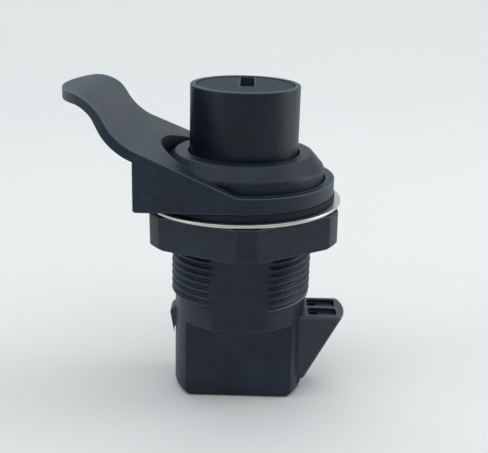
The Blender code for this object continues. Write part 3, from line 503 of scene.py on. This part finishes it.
bmesh.ops.remove_doubles(ridge, verts=ridge.verts, dist=WELD)
bmesh.ops.bisect_plane(ridge, geom=ridge.verts[:] + ridge.edges[:] + ridge.faces[:], dist=1e-8,
                       plane_co=(0, 0, (THREAD_START + 0.3) * MM), plane_no=(0, 0, -1),
                       clear_outer=True)
bmesh.ops.holes_fill(ridge, edges=[e for e in ridge.edges if e.is_boundary], sides=0)
print(f"Thread ridge: {turns:.1f} turns, {len(ridge.faces)} faces")
combine(housing, "UNION", ridge)

# %% [markdown]
# The foot's flats are pulled from an outline with a rounded lower corner, so the foot's lower
# edge is round on all sides. The hollows follow the CAD solid: the cavity for the bolt, the shaft
# for the plunger's leg, the window for the bolt's tail and the two grooves that guide the button.
# The foot's edges are rounded before the hollows are cut, and the thread's own edges stay as the
# tool cut them. A peg on the cavity's left wall holds the bolt's spring.

# %% Housing: flats and hollows
FOOT_FLAT, FOOT_FLAT_TOP, FOOT_EDGE = 10.7, 22.4, 0.9
BARREL_FLAT = 16.75
CAVITY_LEFT, CAVITY_LOW, CAVITY_HIGH, CAVITY_HALF = -14.6, 3.6, 23.3, 7.3
MOUTH_LEFT, MOUTH_LOW = 12.6, 2.1
BOLT_SPRING_HEIGHT = 9.5
PEG_RADIUS, PEG_LENGTH, PEG_ROUND = 1.8, 3.0, 0.5
FAR = 40.0
cavity = pulled([
    (CAVITY_LEFT, CAVITY_LOW, 0), (MOUTH_LEFT, CAVITY_LOW, 0), (MOUTH_LEFT, MOUTH_LOW, 0),
    (FAR, MOUTH_LOW, 0), (FAR, CAVITY_HIGH, 0), (CAVITY_LEFT, CAVITY_HIGH, 0),
], "XZ", -CAVITY_HALF, CAVITY_HALF)
leg_shaft = block(x=(-9.7, 9.7), y=(-3.2, 3.2), z=(22.3, 28.0))
tail_window = block(x=(-FAR, -13.6), y=(-3.05, 3.05), z=(17.1, CAVITY_HIGH))
guides = block(x=(-16.2, 16.2), y=(-3.8, 3.8), z=(33.4, 50.3))
flats = []
for side in (-1, 1):
    edge_arc = arc(FOOT_FLAT - FOOT_EDGE, FOOT_EDGE, FOOT_EDGE, -90, 0, 6)
    outline = [(FOOT_FLAT - FOOT_EDGE, -1, 0)] + edge_arc
    outline += [(FOOT_FLAT, FOOT_FLAT_TOP, 0), (FAR, FOOT_FLAT_TOP, 0), (FAR, -1, 0)]
    flats.append(pulled([(side * y, z, 0) for y, z, _ in outline], "YZ", -FAR, FAR))
for side in (-1, 1):
    beside = sorted((side * BARREL_FLAT, side * FAR))
    flats.append(block(x=(-FAR, FAR), y=beside, z=(FOOT_FLAT_TOP - 1, FLANGE_BOTTOM)))
combine(housing, "DIFFERENCE", *flats)
soften(housing, 0.7, 4, lambda p, up: 0.5 < p.z < THREAD_START - 0.6 and abs(p.y) > 5)
combine(housing, "DIFFERENCE", cavity, leg_shaft, tail_window, guides)
peg = turned([(0, -0.5, 0), (PEG_RADIUS, -0.5, 0), (PEG_RADIUS, PEG_LENGTH, PEG_ROUND),
              (0, PEG_LENGTH, 0)], 32)
combine(housing, "UNION", laid_along_x(peg, CAVITY_LEFT, BOLT_SPRING_HEIGHT))
dress(housing, nylon, "body", "glass_filled_nylon", "housing")

# %% [markdown]
# ## Finger pull
# The pull is clamped under the dome. From the front it is a wedge that rises into a curved plate,
# and from above it is a round ring with a tapering tongue. So it is the space that two pulled
# outlines share: the side view pulled through its width, and the plan pulled through its height.
# The corners of the two outlines carry the large curves, and a bevel gives the small ones.
#
# The stack that the nut clamps leans by one degree, with its left side lower, so the pull's
# underside is cut along that lean. A round pocket in the top takes the flange. The bore is cut
# last, after the bevels: it has two flats like the barrel's, which keep the pull from turning.

# %% Finger pull
STACK_TILT = math.radians(1.0)
TILT_PIVOT = Vector((22.0, 0, 49.65)) * MM
PULL_LOW = 57.3
RING_TOP = 61.1
SLOPE_FOOT = -1.2
SLOPE = math.tan(math.radians(23))
PLATE = 2.6
PLATE_UPRIGHT = PLATE * 1.086   # the plate's thickness, measured upright where it slopes
RING_RADIUS = 24.3
BLOCK_LEFT = -27.0
POCKET_RADIUS = 21.95
POCKET_FLOOR = 59.5
CLEAR_BORE = 19.3
KEYED_HALF = 16.95


def slope_at(x):
    """Height of the pull's sloping top, in millimetres."""
    return RING_TOP + (SLOPE_FOOT - x) * SLOPE


RISE_FOOT, CREST, TIP = -30.8, -37.056, -47.3
CREST_HIGH, TIP_HIGH = 84.5, 84.0
BLANK_LOW, BLANK_HALF = PULL_LOW - 2, 30.0
side_view = [
    (BLANK_HALF, BLANK_LOW, 0), (BLANK_HALF, RING_TOP, 0), (SLOPE_FOOT, RING_TOP, 1.5),
    (RISE_FOOT, slope_at(RISE_FOOT), 4.35), (CREST, CREST_HIGH, 5.5),
    (TIP, TIP_HIGH, 0), (TIP, TIP_HIGH - PLATE, 0),
    (-38.514, 81.826, 3.9), (-32.617, 71.61, 5.2),   # the two bends of the underside
    (BLOCK_LEFT, slope_at(BLOCK_LEFT) - PLATE_UPRIGHT, 0), (BLOCK_LEFT, BLANK_LOW, 0),
]
pull = solid(pulled(side_view, "XZ", -BLANK_HALF, BLANK_HALF, 12), "pull_moulding")
print(f"Pull: {slope_at(RISE_FOOT):.1f} mm high where its slope ends, {TIP_HIGH} mm at the tip")

# %% Finger pull: plan, ring and underside
TIP_RADIUS, SHOULDER_RADIUS = 25.0, 8.0
SIDE_ANGLE, TIP_ANGLE = -93.3, -121.4
LOWEST, HIGHEST = 50, 90
CORNER_ROUND = 0.7
shoulder = arc(-31.15, -14.51, SHOULDER_RADIUS, SIDE_ANGLE, TIP_ANGLE, 6)
tip_arc = arc(TIP + TIP_RADIUS, 0, TIP_RADIUS, TIP_ANGLE, -360 - TIP_ANGLE, 36)
back_shoulder = [(x, -y, 0) for x, y, _ in reversed(shoulder)]
plan_view = [(0, -RING_RADIUS, 0)] + shoulder + tip_arc[1:-1] + back_shoulder
plan_view.append((0, RING_RADIUS, 0))
plan = pulled(plan_view, "XY", LOWEST, HIGHEST)
combine(pull, "INTERSECT", plan)
ring_blank = turned([
    (0, BLANK_LOW, 0), (RING_RADIUS, BLANK_LOW, 0), (RING_RADIUS, RING_TOP, 0), (0, RING_TOP, 0),
], FINE_STEPS)
combine(pull, "UNION", ring_blank)
left_low = PULL_LOW - (TILT_PIVOT.x / MM - BLOCK_LEFT) * math.tan(STACK_TILT)
right_low = PULL_LOW + (FAR - TILT_PIVOT.x / MM) * math.tan(STACK_TILT)
corner_low = left_low + CORNER_ROUND
corner = arc(BLOCK_LEFT + CORNER_ROUND, corner_low, CORNER_ROUND, 270, 180, 5)
under = [(-FAR, FAR, 0), (FAR, FAR, 0), (FAR, right_low, 0)] + corner + [(-FAR, corner_low, 0)]
combine(pull, "DIFFERENCE", pulled(under, "XZ", -FAR, FAR))
print(f"Pull's underside: {left_low:.2f} mm high at the left corner, {PULL_LOW} mm at the pivot")

# %% Finger pull: pocket, edges and bore
pocket = turned([
    (0, POCKET_FLOOR, 0), (POCKET_RADIUS, POCKET_FLOOR, 0), (POCKET_RADIUS, HIGHEST, 0),
    (0, HIGHEST, 0),
], FINE_STEPS)
combine(pull, "DIFFERENCE", pocket)
soften(pull, 0.5, 4, lambda p, up: up > 0.3 and math.hypot(p.x, p.y) > POCKET_RADIUS + 1)
soften(pull, 0.35, 3, lambda p, up: up < 0.3 or math.hypot(p.x, p.y) < POCKET_RADIUS + 1)
key = math.degrees(math.asin(KEYED_HALF / CLEAR_BORE))
keyed_bore = arc(0, 0, CLEAR_BORE, -key, key, 40) + arc(0, 0, CLEAR_BORE, 180 - key, 180 + key, 40)
combine(pull, "DIFFERENCE", pulled(keyed_bore, "XY", LOWEST, POCKET_FLOOR + 1))
dress(pull, nylon, "body", "glass_filled_nylon", "handle")

# %% [markdown]
# ## Nut, washer and gasket
# The nut is a hexagon whose six corners are turned off, so each corner is a narrow facet between
# two soft lines. The washer is stamped from sheet and keeps a slight burr radius. The gasket is
# cut from rubber sheet. All three lean with the pull's underside.

# %% Nut, washer and gasket
NUT_LOW, NUT_HIGH = 45.4, 54.3
NUT_FLATS = 49.0
NUT_CORNER = 26.85
NUT_TURN = math.radians(-27)
WASHER_RADIUS, WASHER_LOW, WASHER_HIGH = 26.35, 54.5, 55.4
GASKET_RADIUS, GASKET_LOW, GASKET_HIGH = 24.7, 55.5, 57.2
hex_radius = NUT_FLATS / 2 / math.cos(math.pi / 6)
hexagon = [(hex_radius * math.cos(math.tau * k / 6), hex_radius * math.sin(math.tau * k / 6), 0)
           for k in range(6)]
nut = pulled(hexagon, "XY", NUT_LOW, NUT_HIGH)
bmesh.ops.rotate(nut, cent=ORIGIN, matrix=Matrix.Rotation(NUT_TURN, 3, "Z"), verts=nut.verts)
nut = solid(nut, "clamp_nut")


def tilted(target):
    """Leans a piece of the clamped stack about the pivot, so that its left side hangs lower."""
    turn = Matrix.Rotation(-STACK_TILT, 4, "Y")
    target.data.transform(Matrix.Translation(TILT_PIVOT) @ turn @ Matrix.Translation(-TILT_PIVOT))
    return target


nut_blank = turned([
    (CLEAR_BORE, NUT_LOW, 0.4), (NUT_CORNER, NUT_LOW, 0.5),
    (NUT_CORNER, NUT_HIGH, 0.5), (CLEAR_BORE, NUT_HIGH, 0.4),
], FINE_STEPS)
combine(nut, "INTERSECT", nut_blank)
soften(nut, 0.3, 3, lambda p, up: math.hypot(p.x, p.y) > 22)
dress(tilted(nut), nylon, "body", "glass_filled_nylon", "hex_nut")

washer = solid(turned([
    (CLEAR_BORE, WASHER_LOW, 0.15), (WASHER_RADIUS, WASHER_LOW, 0.3),
    (WASHER_RADIUS, WASHER_HIGH, 0.3), (CLEAR_BORE, WASHER_HIGH, 0.15),
], FINE_STEPS), "stamped_washer")
dress(tilted(washer), zinc, "body", "zinc_plated_steel", "washer")

gasket = solid(turned([
    (CLEAR_BORE, GASKET_LOW, 0), (GASKET_RADIUS, GASKET_LOW, 0.3),
    (GASKET_RADIUS, GASKET_HIGH, 0.3), (CLEAR_BORE, GASKET_HIGH, 0),
], FINE_STEPS), "gasket_ring")
dress(tilted(gasket), rubber, "body", "nitrile_rubber", "panel_gasket")

# %% [markdown]
# ## Button and key plug
# The button is a hollow cup whose rim catches a thin bright line, partly from its rounded edge and
# partly a painted highlight. The plug sits almost level with the rim, in a recess with a narrow
# shadow gap round it, and has one slot from the middle to the back edge. The gap and the plug's
# duller face keep the disc and the rim apart for the eye. A web inside the cup carries the plug's
# stem, and two lugs at its foot run in the housing's grooves.

# %% Button
BUTTON_RADIUS = 14.4
BUTTON_LOW, BUTTON_HIGH = 46.0, 85.2
RECESS = 12.95
WEB_LOW, WEB_HIGH = 77.6, 80.9
CUP = 11.4
GROOVE_RADIUS, GROOVE_LOW, GROOVE_HIGH = 12.8, 61.45, 63.55
STEM_HOLE, SEAL_HOLE, SEAL_SEAT = 5.3, 7.0, 79.2
LUG_IN, LUG_OUT, LUG_HIGH, LUG_HALF = 12.4, 15.7, 50, 3.5
button = solid(turned([
    (CUP, BUTTON_LOW, 0), (BUTTON_RADIUS, BUTTON_LOW, 0.3),
    (BUTTON_RADIUS, GROOVE_LOW, 0), (GROOVE_RADIUS, GROOVE_LOW, 0),
    (GROOVE_RADIUS, GROOVE_HIGH, 0), (BUTTON_RADIUS, GROOVE_HIGH, 0),
    (BUTTON_RADIUS, BUTTON_HIGH, 0.25), (RECESS, BUTTON_HIGH, 0.1), (RECESS, WEB_HIGH, 0),
    (SEAL_HOLE, WEB_HIGH, 0), (SEAL_HOLE, SEAL_SEAT, 0), (STEM_HOLE, SEAL_SEAT, 0),
    (STEM_HOLE, WEB_LOW, 0), (CUP, WEB_LOW, 0.8),
], FINE_STEPS), "push_button")
lugs = [pulled([
    (side * LUG_IN, BUTTON_LOW, 0), (side * BUTTON_RADIUS, BUTTON_LOW, 0),
    (side * LUG_OUT, BUTTON_LOW + 2, 0.2), (side * LUG_OUT, LUG_HIGH, 0.2),
    (side * LUG_IN, LUG_HIGH, 0),
], "XZ", -LUG_HALF, LUG_HALF) for side in (-1, 1)]
combine(button, "UNION", *lugs)
dress(button, button_nylon, "press", "glass_filled_nylon", "button")

# %% Key plug
PLUG_FACE = 85.0
PLUG_RADIUS = 12.65
HEAD_LOW = 81.2
STEM, STEM_LOW = 5.0, 63.6
CLIP_NECK, CLIP_LOW, CLIP_HIGH = 4.0, 76.2, 77.6
SLOT_MIDDLE, SLOT_HALF = 0.45, 1.875
CUT_FROM = 60
plug = solid(turned([
    (0, STEM_LOW, 0), (STEM, STEM_LOW, 0.3), (STEM, CLIP_LOW, 0), (CLIP_NECK, CLIP_LOW, 0),
    (CLIP_NECK, CLIP_HIGH, 0), (STEM, CLIP_HIGH, 0), (STEM, HEAD_LOW, 0),
    (PLUG_RADIUS, HEAD_LOW, 0), (PLUG_RADIUS, PLUG_FACE, 0.15), (0, PLUG_FACE, 0),
], 128), "key_plug")
slot_sides = (SLOT_MIDDLE - SLOT_HALF, SLOT_MIDDLE + SLOT_HALF)
tool_slot = block(x=slot_sides, y=(-2.8, 12.2), z=(81.8, 90))
tongue_notch = block(x=(-10, 10), y=(-2.1, 2.1), z=(CUT_FROM, 65.8))
screw_hole = turned([(0, CUT_FROM, 0), (1.5, CUT_FROM, 0), (1.5, 71.6, 0), (0, 71.6, 0)], 32)
combine(plug, "DIFFERENCE", tool_slot, tongue_notch, screw_hole)
dress(plug, plug_nylon, "lock", "glass_filled_nylon", "lock_plug")

# %% [markdown]
# ## Bolt
# The bolt slams: its nose slopes so that the strike pushes it in, and its flat top then locks
# behind the strike. The mould leaves two cored pockets with a rib between them in the top, to keep
# the walls even. Inside the housing a sloping slot takes the plunger's leg, and a tail reaches
# through the far wall, where a small hook stops it. The form is a sketch of the top, extruded down
# twice: straight for the lip, then with its nose drawn back for the slope.

# %% Bolt
BOLT_LOW, BOLT_HIGH = 3.9, 23.0
NOSE_X, NOSE_FOOT, NOSE_LIP = 29.1, 19.4, 0.7
NOSE_RADIUS = 18.0
BOLT_HALF = 7.0
BOLT_BACK = -1.5
NOSE_CORNER = 0.8
POCKET_NEAR, POCKET_WIDE, POCKET_LEFT, POCKET_ROUND = 0.65, 5.6, 18.8, 1.0
nose_end = math.degrees(math.asin(BOLT_HALF / NOSE_RADIUS))
nose = arc(NOSE_X - NOSE_RADIUS, 0, NOSE_RADIUS, -nose_end, nose_end, 10)
corners = [(*nose[0][:2], NOSE_CORNER)] + nose[1:-1] + [(*nose[-1][:2], NOSE_CORNER)]
top_view = [(BOLT_BACK, -BOLT_HALF, 0)] + corners + [(BOLT_BACK, BOLT_HALF, 0)]
block_form = sketch(top_view, "XY", 4)
bmesh.ops.translate(block_form, vec=(0, 0, BOLT_HIGH * MM), verts=block_form.verts)
end_face = block_form.faces[:]
for drop, back in ((NOSE_LIP, 0), (BOLT_HIGH - NOSE_LIP - BOLT_LOW, NOSE_X - NOSE_FOOT)):
    drawn = bmesh.ops.extrude_face_region(block_form, geom=end_face)["geom"]
    end_face = [g for g in drawn if isinstance(g, bmesh.types.BMFace)]
    for vert in [g for g in drawn if isinstance(g, bmesh.types.BMVert)]:
        vert.co += Vector((-back if vert.co.x > 0 else 0, 0, -drop)) * MM
bolt = solid(block_form, "slam_bolt")
print("Bolt's form:", len(bolt.data.polygons), "faces")

# %% Bolt: pockets, tail and cam slot
cores = []
for side in (-1, 1):
    near, far = sorted((side * POCKET_NEAR, side * POCKET_WIDE))
    for inset, right_end, depth in ((0, 26.7, 1.1), (0.15, 21.6, 1.9)):
        left = POCKET_LEFT + inset
        cores.append(pulled([
            (left, near + inset, POCKET_ROUND), (right_end, near + inset, POCKET_ROUND),
            (right_end, far - inset, POCKET_ROUND), (left, far - inset, POCKET_ROUND),
        ], "XY", BOLT_HIGH - depth, BOLT_HIGH + 3, 5))
TAIL_LOW, TAIL_HALF = 17.4, 2.75
HOOK_RIGHT, HOOK_LOW = -18.3, 15.6
tail = pulled([
    (-0.5, TAIL_LOW, 0), (-0.5, BOLT_HIGH, 0), (-18.6, BOLT_HIGH, 0.3), (-19.4, 21.9, 0.3),
    (HOOK_RIGHT, HOOK_LOW, 0), (HOOK_RIGHT, TAIL_LOW, 0),
], "XZ", -TAIL_HALF, TAIL_HALF, 3)
combine(bolt, "DIFFERENCE", *cores)
soften(bolt, 0.5, 4, lambda p, up: p.x > 10 and (up < 0.5 or p.y < -6.5 or p.x > 27.5 or p.y > 6.5))
soften(bolt, 0.2, 2, lambda p, up: p.x > 10 and up > 0.5 and p.z > BOLT_HIGH - 0.1)
combine(bolt, "UNION", tail)
CAM_LEFT, CAM_RIGHT, CAM_LOW, CAM_HIGH, CAM_HALF = 0.755, 17.2, 6.22, 24.0, 2.5
HOLE_RADIUS, HOLE_DEPTH = 3.15, 8.5
cam_slot = pulled([(CAM_LEFT, CAM_HIGH, 0), (CAM_RIGHT, CAM_LOW, 0), (CAM_RIGHT, CAM_HIGH, 0)],
                  "XZ", -CAM_HALF, CAM_HALF)
spring_hole = turned([(0, -1.0, 0), (HOLE_RADIUS, -1.0, 0), (HOLE_RADIUS, HOLE_DEPTH, 0),
                      (0, HOLE_DEPTH, 0)], 48)
laid_along_x(spring_hole, BOLT_BACK, BOLT_SPRING_HEIGHT)
combine(bolt, "DIFFERENCE", cam_slot, spring_hole)
dress(bolt, acetal, "slide", "acetal", "bolt")

# %% [markdown]
# ## Springs and seals
# A coil spring is a wire circle swept round the axis while it climbs. Its two end turns lie flat
# and its middle turns climb, so three spins follow each other, each starting from the last ring of
# the one before. A seal is the same circle without the climb.


# %% Springs and seals
END_PITCH = 1.1   # the end turns' pitch, in wire thicknesses


def wire_ring(radius, half, height, sides, cap_ends):
    """A bmesh with the wire's round section, stood upright at a distance from the axis."""
    bm = bmesh.new()
    bmesh.ops.create_circle(bm, segments=sides, radius=half * MM, cap_ends=cap_ends)
    bmesh.ops.rotate(bm, cent=ORIGIN, matrix=Matrix.Rotation(QUARTER_TURN, 3, "X"), verts=bm.verts)
    bmesh.ops.translate(bm, vec=Vector((radius, 0, height)) * MM, verts=bm.verts)
    return bm


def coil(radius, wire_mm, length, middle_turns, sides=12, steps=32):
    """A compression spring along +Z from 0 to its length, with a closed turn at each end."""
    bm = wire_ring(radius, wire_mm / 2, wire_mm / 2, sides, True)
    end_rise = wire_mm * END_PITCH
    climb = length - wire_mm - 2 * end_rise
    ring = bm.verts[:] + bm.edges[:] + bm.faces[:]
    for number, rise in ((1, end_rise), (middle_turns, climb), (1, end_rise)):
        count = round(number * steps)
        made = bmesh.ops.spin(bm, geom=ring, cent=ORIGIN, axis=UPRIGHT, angle=math.tau * number,
                              dvec=(0, 0, rise * MM / count), steps=count)
        ring = made["geom_last"]
    return bm


def seal(radius, half, height):
    """A ring of round section at a height."""
    bm = wire_ring(radius, half, height, 16, False)
    bmesh.ops.spin(bm, geom=bm.verts[:] + bm.edges[:], cent=ORIGIN, axis=UPRIGHT, dvec=(0, 0, 0),
                   angle=math.tau, steps=96, use_merge=True)
    return bm


lift_low, lift_high = 28.2, 58.3
lift = coil(radius=10.25, wire_mm=1.1, length=lift_high - lift_low, middle_turns=4)
bmesh.ops.translate(lift, vec=(0, 0, lift_low * MM), verts=lift.verts)
lift_spring = dress(solid(lift, "lift_spring"), wire, "body", "spring_steel", "return_spring")
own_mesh(lift_spring)

push_low = 62.9
push = coil(radius=9.6, wire_mm=1.0, length=14.4, middle_turns=2)
bmesh.ops.translate(push, vec=(0, 0, push_low * MM), verts=push.verts)
dress(solid(push, "push_spring"), wire, "press", "spring_steel", "button_spring")

slide_low, slide_high = -14.3, 6.7
slide = coil(radius=2.5, wire_mm=0.7, length=slide_high - slide_low, middle_turns=5,
             sides=10, steps=20)
laid_along_x(slide, slide_low, BOLT_SPRING_HEIGHT)
slide_spring = dress(solid(slide, "slide_spring"), wire, "body", "spring_steel", "bolt_spring")
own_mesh(slide_spring)

dome_ring = solid(seal(radius=20.0, half=0.55, height=60.35), "dome_ring_seal")
button_ring = solid(seal(radius=13.85, half=0.75, height=62.5), "button_ring_seal")
stem_ring = solid(seal(radius=6.0, half=0.7, height=80.2), "stem_ring_seal")
dress(dome_ring, rubber, "body", "nitrile_rubber", "flange_seal")
dress(button_ring, rubber, "press", "nitrile_rubber", "button_seal")
dress(stem_ring, rubber, "lock", "nitrile_rubber", "plug_seal")

# %% [markdown]
# ## Table and light
# The latch stands on a pale sweep: a sheet that lies on the table and curves up behind, so no
# horizon shows. Satin black plastic shows mostly what it reflects. Its top faces mirror the pale
# sweep behind them and turn mid grey, while its sides face the dimmer room in front and stay
# almost black. A large soft lamp hangs overhead, and keeps the shadow under the latch faint. A
# weak one at the left opens the dark side a little, and another at the right draws the soft bright
# line down the button's right side. Above the height of the latch the sweep takes a cool tint:
# painted cool light, standing for the room light that falls on the wall behind.


# %% Table and backdrop
SWEEP_HALF = 4.0
SWEEP_FRONT, SWEEP_BACK, SWEEP_TOP = -1.2, 0.9, 1.6
SWEEP_FLOOR = -0.00005   # a hair under the foot, so the two faces don't fight
FOLD_RADIUS = 0.5
PAINT_CLOUD_MM = 60
# Heights in metres where the painted cool light begins and where it is full.
COOL_LIGHT_FROM, COOL_LIGHT_FULL = 0.1, 0.35


def pale_surface(name, code, cool_light_code, roughness):
    """A painted sheet with a cool tint of painted light on its upper part."""
    material, tree, shader = new_material(name, IOR=1.45, Roughness=roughness)
    place = add(tree, "ShaderNodeTexCoord", "Object")
    cloud = add(tree, "ShaderNodeTexNoise", "Fac",
                {"Vector": place, "Scale": per_mm(PAINT_CLOUD_MM), "Detail": 3.0})
    colour = linear(code)
    shade = tuple(c * 0.985 for c in colour[:3]) + (1.0,)
    tone = add(tree, "ShaderNodeMix", "Result",
               {"Factor": cloud, "A": shade, "B": colour}, data_type="RGBA")
    height = add(tree, "ShaderNodeSeparateXYZ", "Z", {"Vector": place})
    rise = add(tree, "ShaderNodeMapRange", "Result",
               {"Value": height, "From Min": COOL_LIGHT_FROM, "From Max": COOL_LIGHT_FULL})
    # Painted cool light: the colour fades to a cool tint between the two heights.
    cool_light_tint = add(tree, "ShaderNodeMix", "Result",
                 {"Factor": rise, "A": tone, "B": linear(cool_light_code)}, data_type="RGBA")
    link(tree, cool_light_tint, shader, "Base Color")
    return material


sweep = bmesh.new()
outline = ((0, SWEEP_FRONT, SWEEP_FLOOR), (0, SWEEP_BACK, SWEEP_FLOOR), (0, SWEEP_BACK, SWEEP_TOP))
left_end = [sweep.verts.new(Vector(p)) for p in outline]
edges = [sweep.edges.new(pair) for pair in zip(left_end, left_end[1:])]
made = bmesh.ops.extrude_edge_only(sweep, edges=edges)
right_end = [g for g in made["geom"] if isinstance(g, bmesh.types.BMVert)]
bmesh.ops.translate(sweep, vec=(-SWEEP_HALF, 0, 0), verts=left_end)
bmesh.ops.translate(sweep, vec=(SWEEP_HALF, 0, 0), verts=right_end)
fold = [e for e in sweep.edges if all(v.co.y > 0.8 and v.co.z < 0.1 for v in e.verts)]
bmesh.ops.bevel(sweep, geom=fold, offset=FOLD_RADIUS, offset_type="OFFSET", affect="EDGES",
                segments=24, profile=0.5, material=-1)
backdrop = solid(sweep, "sweep")
print("Sweep in metres:", [round(side, 2) for side in backdrop.dimensions])
backdrop.data.shade_smooth()
# The second colour is the painted cool light on the upper sweep.
backdrop.data.materials.append(pale_surface("painted_sweep", "#ebeae9", "#dcefec", 0.7))


# %% Lamps and world
ROOM_COLOUR, ROOM_STRENGTH = "#98a4ac", 0.62


def soft_lamp(name, place, target, size, power):
    """A white rectangular lamp in metres and watts, turned to a target."""
    data = bpy.data.lights.new(name, "AREA")
    data.shape, data.size, data.size_y, data.energy = "RECTANGLE", size[0], size[1], power
    lamp = bpy.data.objects.new(name, data)
    bpy.context.scene.collection.objects.link(lamp)
    lamp.location = place
    lamp.rotation_euler = (Vector(target) - Vector(place)).to_track_quat("-Z", "Y").to_euler()


soft_lamp("overhead", place=(-0.05, 0, 0.9), target=(0, 0, 0), size=(1.7, 1.6), power=9.8)
soft_lamp("left_fill", place=(-0.85, -0.3, 0.35), target=(0, 0, 0.03), size=(0.5, 0.6), power=1.9)
soft_lamp("right", place=(0.7, 0.12, 0.3), target=(0, 0, 0.05), size=(0.3, 0.6), power=2.0)
world = bpy.data.worlds.new("room")
bpy.context.scene.world = world
world.use_nodes = True
background = world.node_tree.nodes["Background"]
background.inputs["Color"].default_value = linear(ROOM_COLOUR)
background.inputs["Strength"].default_value = ROOM_STRENGTH
bpy.context.scene.view_settings.view_transform = "Standard"
